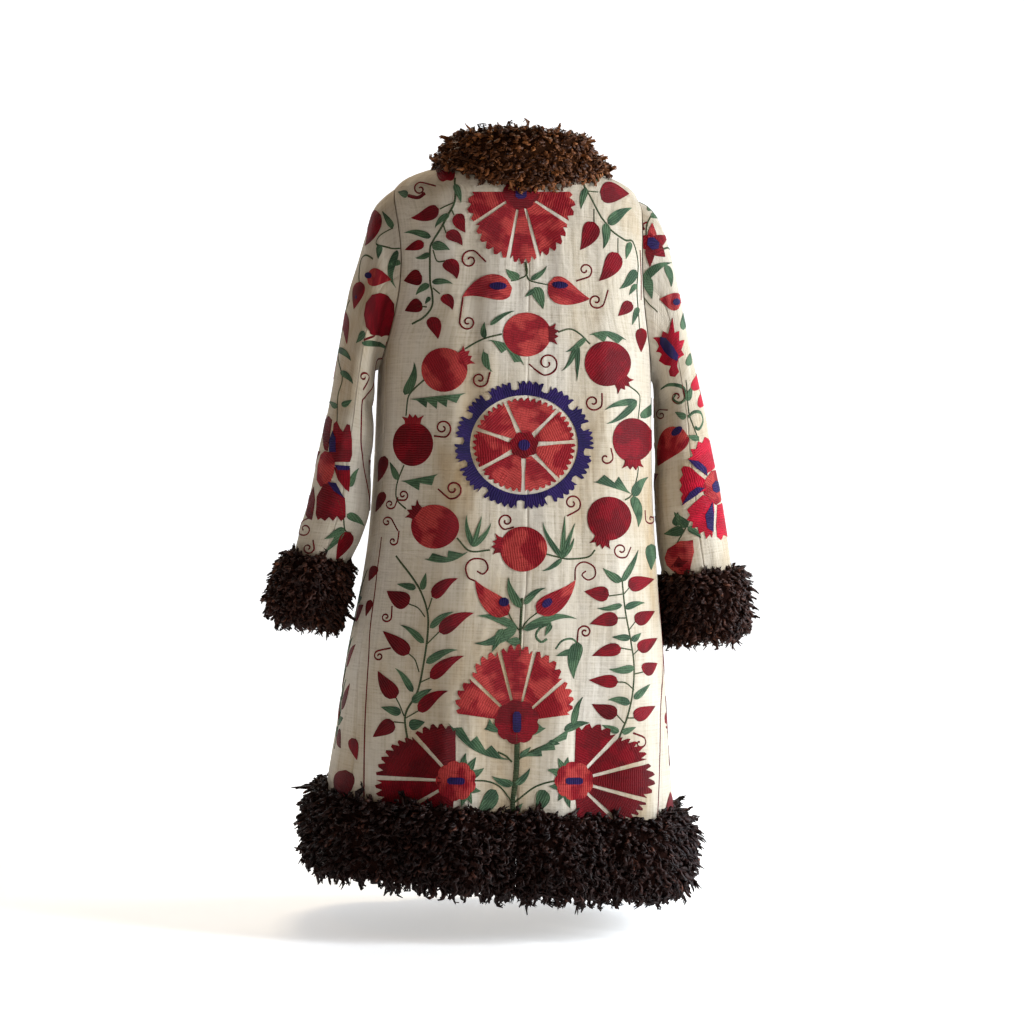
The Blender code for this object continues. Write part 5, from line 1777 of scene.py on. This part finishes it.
LEFT_SLEEVE_SHAPES = (
    Shape("crimson", 100, ((329, 452), (333, 437), (334, 424), (337, 421), (340, 428), (343, 432), (347, 424),
                           (350, 425), (352, 440), (352, 455), (350, 462), (335, 462))),
    Shape("crimson", 10, ((334, 467), (350, 468), (350, 480), (349, 492), (345, 489), (338, 480))),
    Shape("crimson", 80, ((324, 484), (331, 483), (345, 498), (345.5, 517), (341, 521), (337, 516), (333, 521),
                          (329, 517), (325, 521), (321, 518), (318, 520), (316, 514), (317, 497))),
    Shape("wine", 90, ((325, 450), (323, 435), (325, 420), (329, 416), (332, 420), (330, 437), (328, 451))),
    Shape("wine", 80, ((314, 487), (309, 497), (306, 515), (309, 519), (312, 520), (315, 500))),
    Shape("coral", 60, ((325, 451), (331, 453), (335, 461), (334, 473), (330, 483), (321, 487), (317, 480),
                        (318, 466), (321, 455))),
    Shape("navy", 100, ((329.5, 452), (330, 440), (333, 431), (336, 438), (336, 452))),
    Shape("navy", 0, ((335, 465), (350, 466), (349, 470), (338, 470))),
    Shape("navy", 50, ((328, 482), (336, 483), (344, 498), (334, 491))),
    Shape("crimson", 80, ((380, 293), (388, 296), (394, 304), (396, 315), (394, 326), (389, 334), (381, 337),
                          (372, 335), (366, 327), (364, 315), (366, 303), (372, 295))),
)
LEFT_SLEEVE_CURLS = (
    Curl(364, 377, 7, 363, 390, 1.2, 1), Curl(304.5, 529, 11, 309, 518, 1.3, 1),
    Curl(308, 548, 8, 313, 540, 1.2, -1),
    Curl(372, 332, 6, 364, 340, 1.1, 1),
)
LEFT_SLEEVE_STEMS = (
    Stem(1.8, ((393, 228), (376, 243), (390, 248), (404, 248)), "olive"),
    Stem(1.8, ((373, 259), (362, 258), (359, 275), (360, 290)), "olive"),
    Stem(1.8, ((350, 300), (344, 320), (340, 350), (342, 375), (338, 396), (337, 422)), "olive"),
    Stem(2.0, ((362, 343), (374, 345), (388, 348)), "green"),
    Stem(2.2, ((402, 345), (393, 362), (379, 380), (366, 396), (362, 404), (361, 438), (362.7, 458), (367.6, 487),
               (373, 511)), "wine"),
    Stem(1.8, ((309, 570), (320, 570), (333, 572), (346, 575)), "wine"),
    Stem(1.8, ((338, 500), (343, 515), (345, 530), (350, 533)), "olive"),
    Stem(6.0, ((356, 296), (357, 299)), "navy"),
)
RIGHT_SLEEVE_LEAVES = (
    Leaf(647, 206, 656, 209, 12, 0, "green"), Leaf(651, 214, 659, 218, 9, 0, "green"),
    Leaf(653, 245, 637, 237, 22, 0, "crimson"), Leaf(652, 242, 652, 223, 13, 0, "coral"),
    Leaf(653, 244, 668, 236, 19, 0, "crimson"), Leaf(653, 246, 665, 257, 19, 0, "crimson"),
    Leaf(650, 246, 650, 267, 14, 0, "wine"), Leaf(643, 279, 672, 263, 13, 0.14, "green"),
    Leaf(666, 265, 671, 287, 10, 0.1, "green"), Leaf(646, 276, 652, 299, 15, 0, "green"),
    Leaf(683, 330, 683, 313, 8, 0, "green"), Leaf(688, 366, 690, 353, 9, 0, "green"),
    Leaf(694, 391, 697, 374, 12, 0, "bright"), Leaf(700, 408, 703, 388, 10, 0, "bright"),
 Leaf(686, 418, 675, 412, 10, 0, "green"),
 Leaf(699, 439, 687, 436, 9, 0, "green"),
    Leaf(687, 401, 692, 386, 9, 0, "green"), Leaf(688, 527, 674, 512, 13, 0.05, "green"),
    Leaf(688, 527, 701, 538, 10, 0.05, "green"), Leaf(684, 530, 664, 534, 15, 0, "green"),
    Leaf(676, 526, 678, 512, 12, 0, "green"),
)
RIGHT_SLEEVE_DROPS = (
    Drop(681, 303, 659.6, 299, 26, 0, 676, 302, 10, 10, 0, "coral"),
    Drop(683, 429, 658, 466, 40, -0.06, 677, 431, 18, 10, 40, "coral"),
)
RIGHT_SLEEVE_SHAPES = (
    Shape("bright", 110, ((687.8, 459), (693, 456), (690.5, 449), (696, 449), (698, 441.5), (702, 443), (704.5, 437),
                          (709, 440), (712, 450), (715, 466), (709, 472), (705, 475))),
    Shape("bright", 10, ((684, 466), (690, 467), (698, 474), (705, 480), (706, 490), (697, 494), (683, 505),
                         (681, 498), (683, 494), (679.5, 490), (682, 485), (679.5, 480), (683, 475), (681, 469))),
    Shape("bright", 70, ((703, 495), (694, 503), (687, 510), (690, 515), (687, 520), (693, 522), (692, 528),
                         (698, 527), (699, 534), (704, 531), (706, 539), (710, 534), (712, 538), (714, 510),
                         (713, 500))),
    Shape("bright", 90, ((717, 505), (722, 503), (725, 520), (727, 537), (723, 535), (721, 540), (717, 537),
                         (716, 525))),
    Shape("coral", 60, ((706, 478), (711, 471), (717, 470), (720, 485), (721, 500), (716, 505), (709, 500),
                        (704, 494), (703, 486))),
    Shape("navy", 40, ((687.8, 459.5), (698, 461), (706, 468), (707, 476), (696, 468))),
    Shape("navy", 30, ((681.5, 505.5), (690, 492), (697, 487), (704, 488), (697, 495))),
    Shape("navy", 80, ((712, 502), (713.5, 515), (713, 532), (707, 528), (705, 515))),
    Shape("navy", 90, ((715, 480.5), (718, 483), (718.5, 489), (716, 493), (712.5, 491), (711.5, 485))),
    Shape("bright", 60, ((672.4, 318), (674.5, 333), (679, 331), (679, 341), (684, 340), (681, 350), (684, 355),
                         (678, 359), (677, 366), (679, 372), (675, 377), (670, 376), (669, 371), (671, 366),
                         (665, 365), (659, 361), (662, 354), (656, 352), (659, 346), (653, 338), (661, 338),
                         (663, 331), (668, 334))),
    Shape("navy", 130, ((660, 337), (666, 338), (673, 346), (678, 355), (677, 361), (671, 358), (664, 351),
                        (660, 344))),
    Shape("coral", 80, ((665, 558), (668, 549), (673, 546), (680, 541), (687, 541), (693, 540), (694, 552),
                        (691, 565), (688, 579), (680, 576), (672, 570), (667, 565))),
    Shape("wine", 80, ((679, 556), (682, 560), (688, 561), (683, 566), (682, 572), (677, 567), (671, 567),
                       (675, 562))),
    Shape("navy", 30, ((648, 238), (654, 238), (659, 243), (658, 249), (652, 250), (647, 245))),
)
RIGHT_SLEEVE_CURLS = (
    Curl(677, 397, 10, 682, 385, 1.2, -1), Curl(661, 415, 7, 668, 410, 1.2, 1),
    Curl(642, 228, 6, 647, 222, 1.1, 1),
)
RIGHT_SLEEVE_STEMS = (
    Stem(1.8, ((636, 194), (643, 200), (648, 205), (654, 211)), "olive"),
    Stem(1.8, ((651, 216), (647, 225), (646, 237)), "olive"),
    Stem(1.8, ((655, 246), (663, 249), (670, 250)), "olive"),
    Stem(1.8, ((644.6, 298), (651, 306), (657.6, 312)), "olive"),
    Stem(1.8, ((686, 380), (688, 405), (691, 420), (699, 441)), "olive"),
    Stem(1.8, ((690, 520), (684, 531), (677, 543)), "olive"),
    Stem(2.0, ((678, 588), (690, 589), (702, 591)), "wine"),
    Stem(4.0, ((661, 389), (668, 385), (680, 386), (685, 391), (684, 400), (678, 403), (673, 399), (676, 394)), "green"),
    Stem(4.0, ((688, 417), (694, 412), (701, 413), (703, 421), (699, 429), (695, 427)), "green"),
)
# Hidden sides: where their own round flowers and fans go, as places of the same drawing
FRONT_ROSETTE_PX = 485
FRONT_ROSETTE_PY = 452
FRONT_FAN = Fan(486, 716, 486, 660, (-80, -46, -14, 14, 46, 80), (52, 60, 68, 68, 60, 52), (3, 3, 3, 3, 3), 16, 4,
                "coral", "crimson", 21, 20, 8)
FRONT_CHEST_FAN = Fan(494, 318, 494, 280, (-80, -40, 0, 40, 80), (34, 42, 47, 42, 34), (4, 4, 4, 4), 14, 4,
                      "coral", "crimson", 16, 14, 7)
SLEEVE_FAN = Fan(327, 470, 327, 430, (-80, -40, 0, 40, 80), (46, 54, 60, 54, 46), (4, 4, 4, 4), 16, 5,
                 "coral", "coral", 20, 12, 7)


# Left of this place in the photograph a motif of the back is repeated on the front
LEFT_HALF_PX = 515


def on_left(item):
    return item.px <= LEFT_HALF_PX


def draw(work, place, items):
    """Stitch every item of the lists with its own kind of stitch work."""
    ways = {Leaf: leaf, Saw: saw_leaf, Spray: spray, Stem: stem, Curl: curl, Fruit: fruit, Drop: drop,
            Shape: shape, Fan: fan}
    for item in items:
        ways[type(item)](work, place, item)


def needlework_back(materials):
    sheet = body_sheet(0, 11.0)
    work, place = Needlework(sheet), ByPhoto(sheet)
    rosette(work, place, 524, 445, 101, 93, (4, 48, 112, 160, 211, 269, 312),
            (-7, 18, 41, 70, 98, 125, 150, 176, 199, 231, 267, 293, 324))
    draw(work, place, BACK_STEMS + BACK_TENDRILS + BACK_CURLS + VINE_LEFT_STEMS + VINE_RIGHT_STEMS
         + BRANCH_LEFT_STEMS + BRANCH_RIGHT_STEMS)
    draw(work, place, BACK_FANS + BACK_FRUITS + BACK_DROPS + VINE_LEFT + VINE_RIGHT + BACK_GREENS + BACK_SAWS
         + BACK_SPRAYS + BRANCH_LEFT + BRANCH_RIGHT + GORE_BUDS)
    for column in (90, 270):
        side = ByFlat(sheet, column, 415, 572, -640.0, column == 90)
        draw(work, side, BRANCH_LEFT_STEMS + BRANCH_LEFT)
    return work.finish("stitching_back", materials)


def needlework_front(materials):
    sheet = body_sheet(180, 11.0)
    work = Needlework(sheet)
    left_half = [item for item in BACK_FRUITS + BACK_DROPS + BACK_GREENS + BACK_SAWS + BACK_CURLS
                 if on_left(item) and not (item.px > 490 and (item.py < 360 or item.py > 650))]
    for mirror in (False, True):
        place = ByFlat(sheet, 180, 524, 123, 0.0, mirror)
        draw(work, place, left_half)
        draw(work, place, VINE_LEFT_STEMS + BRANCH_LEFT_STEMS + VINE_LEFT + BRANCH_LEFT)
        draw(work, place, (BACK_FANS[2], FRONT_FAN, FRONT_CHEST_FAN))
        rosette(work, place, FRONT_ROSETTE_PX, FRONT_ROSETTE_PY, 40, 38, (4, 76, 148, 220, 292),
                (-7, 33, 73, 113, 153, 193, 233, 273, 313))
    return work.finish("stitching_front", materials)


def needlework_sleeve(side, materials):
    sheet = sleeve_sheet(side)
    work, place = Needlework(sheet), ByPhoto(sheet)
    if side > 0:
        draw(work, place, LEFT_SLEEVE_STEMS + LEFT_SLEEVE_CURLS)
        draw(work, place, LEFT_SLEEVE_SHAPES + LEFT_SLEEVE_DROPS + LEFT_SLEEVE_LEAVES)
    else:
        draw(work, place, RIGHT_SLEEVE_STEMS + RIGHT_SLEEVE_CURLS)
        draw(work, place, RIGHT_SLEEVE_LEAVES + RIGHT_SLEEVE_DROPS + RIGHT_SLEEVE_SHAPES)
    for column, mirror in ((10, False), (134, True)):
        low = ByFlat(sheet, column, 428, 650, -330.0, mirror)
        draw(work, low, BRANCH_LEFT_STEMS[1:6] + BRANCH_LEFT[:6] + BRANCH_LEFT[8:13])
        draw(work, ByFlat(sheet, column, 327, 470, -190.0, mirror), (SLEEVE_FAN,))
        draw(work, ByFlat(sheet, column, 327, 470, -500.0, mirror), (SLEEVE_FAN,))
    return work.finish("stitching_sleeve_" + ("left" if side > 0 else "right"), materials)


def make_needlework():
    """The stitched flowers, fruit and leaves of all sides; the hidden ones follow the shown ones."""
    colours = {
        # The lighter coral is set bright partly to carry the sheen on the stitched fruit: partly painted highlight.
        "coral": ((0.52, 0.052, 0.046), (0.300, 0.007, 0.015), (0.55, 0.42, 0.42)),
        "crimson": ((0.255, 0.001, 0.009), (0.165, 0.001, 0.006), (0.55, 0.45, 0.48)),
        "wine": ((0.120, 0.0012, 0.0045), (0.170, 0.0018, 0.0060), (0.58, 0.50, 0.52)),
        "navy": ((0.016, 0.008, 0.075), (0.026, 0.011, 0.100), (0.62, 0.62, 0.68)),
        "green": ((0.048, 0.098, 0.052), (0.092, 0.170, 0.088), (0.58, 0.62, 0.58)),
        "olive": ((0.070, 0.092, 0.040), (0.048, 0.078, 0.034), (0.70, 0.70, 0.66)),
        "bright": ((0.58, 0.004, 0.030), (0.44, 0.003, 0.022), (0.70, 0.60, 0.62)),
    }
    materials = [stitched_thread(name + "_thread", *colours[name]) for name in THREADS]
    pieces = [needlework_back(materials), needlework_front(materials)]
    pieces += [needlework_sleeve(side, materials) for side in (1, -1)]
    return pieces


def lamp(name, place, aim, width, height, power, colour):
    light = bpy.data.lights.new(name, "AREA")
    light.shape = "RECTANGLE"
    light.size, light.size_y = width, height
    light.energy = power
    light.color = colour
    item = bpy.data.objects.new(name, light)
    item.location = place
    item.rotation_euler = (Vector(aim) - Vector(place)).to_track_quat("-Z", "Y").to_euler()
    bpy.context.scene.collection.objects.link(item)
    return item


def studio():
    """The photograph's camera, a soft cool light from the picture's right and a pale floor."""
    scene = bpy.context.scene
    camera = bpy.data.cameras.new("camera")
    camera.sensor_width = 36.0
    camera.lens = 36.0 * VIEW_LENS_PIXELS / PICTURE
    camera.shift_x = (0.5 * PICTURE - VIEW_AXIS_PX) / PICTURE
    camera.clip_end = 50.0
    item = bpy.data.objects.new("camera", camera)
    bearing = math.radians(VIEW_BEARING)
    aim = Vector((0.0, 0.0, VIEW_AIM_HEIGHT)) * MM
    item.location = aim + Vector((math.sin(bearing), -math.cos(bearing), 0.0)) * VIEW_DISTANCE * MM
    facing = (aim - item.location).to_track_quat("-Z", "Y")
    turned = facing.to_matrix().to_4x4() @ Matrix.Rotation(math.radians(VIEW_ROLL), 4, "Z")
    item.rotation_euler = turned.to_euler()
    scene.collection.objects.link(item)
    scene.camera = item
    scene.view_settings.view_transform = "Standard"

    sweep = bmesh.new()
    bmesh.ops.create_grid(sweep, x_segments=1, y_segments=len(BACKDROP) - 1, size=0.5)
    for vert in sweep.verts:
        place = BACKDROP[round((vert.co.y + 0.5) * (len(BACKDROP) - 1))]
        vert.co = Vector((vert.co.x * BACKDROP_WIDTH, place.away, FLOOR * MM + place.up))
    mesh = bpy.data.meshes.new("floor")
    sweep.to_mesh(mesh)
    sweep.free()
    mesh.shade_smooth()
    floor = bpy.data.objects.new("floor", mesh)
    scene.collection.objects.link(floor)
    material, tree, shader = new_material("pale_floor")
    shader.inputs["Base Color"].default_value = (0.92, 0.92, 0.92, 1.0)
    shader.inputs["Roughness"].default_value = 0.9
    shader.inputs["Emission Color"].default_value = (1.0, 1.0, 1.0, 1.0)
    shader.inputs["Emission Strength"].default_value = BACKDROP_GLOW
    mesh.materials.append(material)

    world = scene.world or bpy.data.worlds.new("room")
    scene.world = world
    world.use_nodes = True
    back = world.node_tree.nodes["Background"]
    back.inputs["Color"].default_value = (1.0, 1.0, 1.0, 1.0)
    back.inputs["Strength"].default_value = 0.10
    lamp("key_right", (-2.5, 1.15, 0.2), (-0.1, 0.1, -0.5), 0.5, 1.2, 118.0, (0.90, 0.95, 1.0))
    lamp("rim_right", (-2.0, -0.3, 0.0), (-0.3, 0.0, -0.4), 0.5, 1.4, 26.0, (0.70, 0.85, 1.0))
    lamp("fill_left", (1.5, 1.9, 1.3), (0.15, 0.1, -0.2), 0.9, 1.0, 6.0, (1.0, 0.62, 0.32))
    lamp("top_back", (0.1, -0.9, 1.5), (0.0, 0.0, 0.0), 0.9, 0.6, 26.0, (1.0, 0.84, 0.62))


FLOOR = -1092.0

# The pale floor and the backdrop that it sweeps up into: distance behind the coat and rise, in
# metres
Sweep = namedtuple("Sweep", "away up")
BACKDROP = (
    Sweep(12.0, 0.0), Sweep(0.0, 0.0), Sweep(-1.6, 0.0), Sweep(-2.1, 0.05), Sweep(-2.6, 0.22), Sweep(-3.0, 0.52),
    Sweep(-3.3, 0.95), Sweep(-3.45, 1.5), Sweep(-3.5, 2.4), Sweep(-3.5, 5.0),
)
BACKDROP_WIDTH = 34.0
BACKDROP_GLOW = 0.45


def make_cloth(cotton):
    """The ten cut pieces of cloth."""
    pieces = {}
    full = np.linspace(0.0, len(SLEEVE_LEFT) - 1.0, SLEEVE_ROWS + 1)
    half = seam_shares(HOLE_STEPS // 2) * math.pi
    for side, word in ((1, "left"), (-1, "right")):
        pieces["back_" + word] = cloth_wall(
            "back_" + word, *panel_grid(side, 1), ("first_column", "last_column"), cotton)
        pieces["front_" + word] = cloth_wall(
            "front_" + word, *panel_grid(side, -1), ("last_column",), cotton)
        pieces["side_gore_" + word] = cloth_wall(
            "side_gore_" + word, *gore_grid(side), ("first_column", "last_column", "last_row"), cotton)
        turns = np.concatenate([half - 0.5 * math.pi, half[1:-1] + 0.5 * math.pi])
        rings = sleeve_rings(side, turns, full)
        normals = ring_normals(rings, side)
        count = len(half)
        outer = list(range(count))
        under = list(range(count - 1, len(turns))) + [0]
        for part, picks in (("outer", outer), ("under", under)):
            name = "sleeve_%s_%s" % (part, word)
            grid = np.swapaxes(rings[:, picks], 0, 1)
            ways = np.swapaxes(normals[:, picks], 0, 1)
            pieces[name] = cloth_wall(name, grid, ways, ("first_column", "last_column"), cotton)
    return pieces


# Size of each piece as cut, flat: width and length in metres, and its real area
Cut = namedtuple("Cut", "width length area")


# How full the pile of each band stands under its curls, of the whole pile
BAND_FULLNESS = 0.66
COLLAR_FULLNESS = 0.72


def make_fur():
    """The collar, the two cuffs and the hem in four lengths."""
    skin = fur_skin("undercoat", (0.005, 0.0018, 0.0012), (0.016, 0.0052, 0.0034))
    skin_warm = fur_skin("collar_undercoat", (0.012, 0.0042, 0.0018), (0.042, 0.0140, 0.0046))
    # The last colour of each curls material is a painted highlight, which the tips of the lightest locks reach.
    hem = fur_pile("hem_curls", (0.007, 0.0022, 0.0016), (0.026, 0.0080, 0.0052), (0.150, 0.052, 0.030))
    cuff = fur_pile("cuff_curls", (0.010, 0.0032, 0.0020), (0.052, 0.0165, 0.0090), (0.220, 0.080, 0.040))
    collar = fur_pile("collar_curls", (0.030, 0.0090, 0.0032), (0.230, 0.078, 0.0220), (0.680, 0.310, 0.095))
    seed = 11
    cuff_turns = np.arange(48) * (2.0 * math.pi / 48)
    full = np.linspace(0.0, len(SLEEVE_LEFT) - 1.0, 61)
    for side, word in ((1, "left"), (-1, "right")):
        rings = sleeve_rings(side, cuff_turns, full)
        fur_band("cuff_fur_%s_curls" % word, cuff_fur_points(rings, side, cuff_turns, BAND_FULLNESS), CUFF_CURLS,
                 True, "cuff_fur_" + word, seed, [skin, cuff], 0.35)
        for face, way in ((1, "back"), (-1, "front")):
            seed += 7
            fur_band("hem_fur_%s_%s_curls" % (way, word), hem_fur_points(side, face, BAND_FULLNESS, 44), HEM_CURLS,
                     False, "hem_fur_%s_%s" % (way, word), seed, [skin, hem], 0.45)
    fur_band("collar_fur_curls", collar_points(COLLAR_FULLNESS, 121), COLLAR_CURLS, False, "collar_fur", 5,
             [skin_warm, collar], 0.2)


studio()
cloth_pieces = make_cloth(cotton_cloth())
make_needlework()
make_fur()
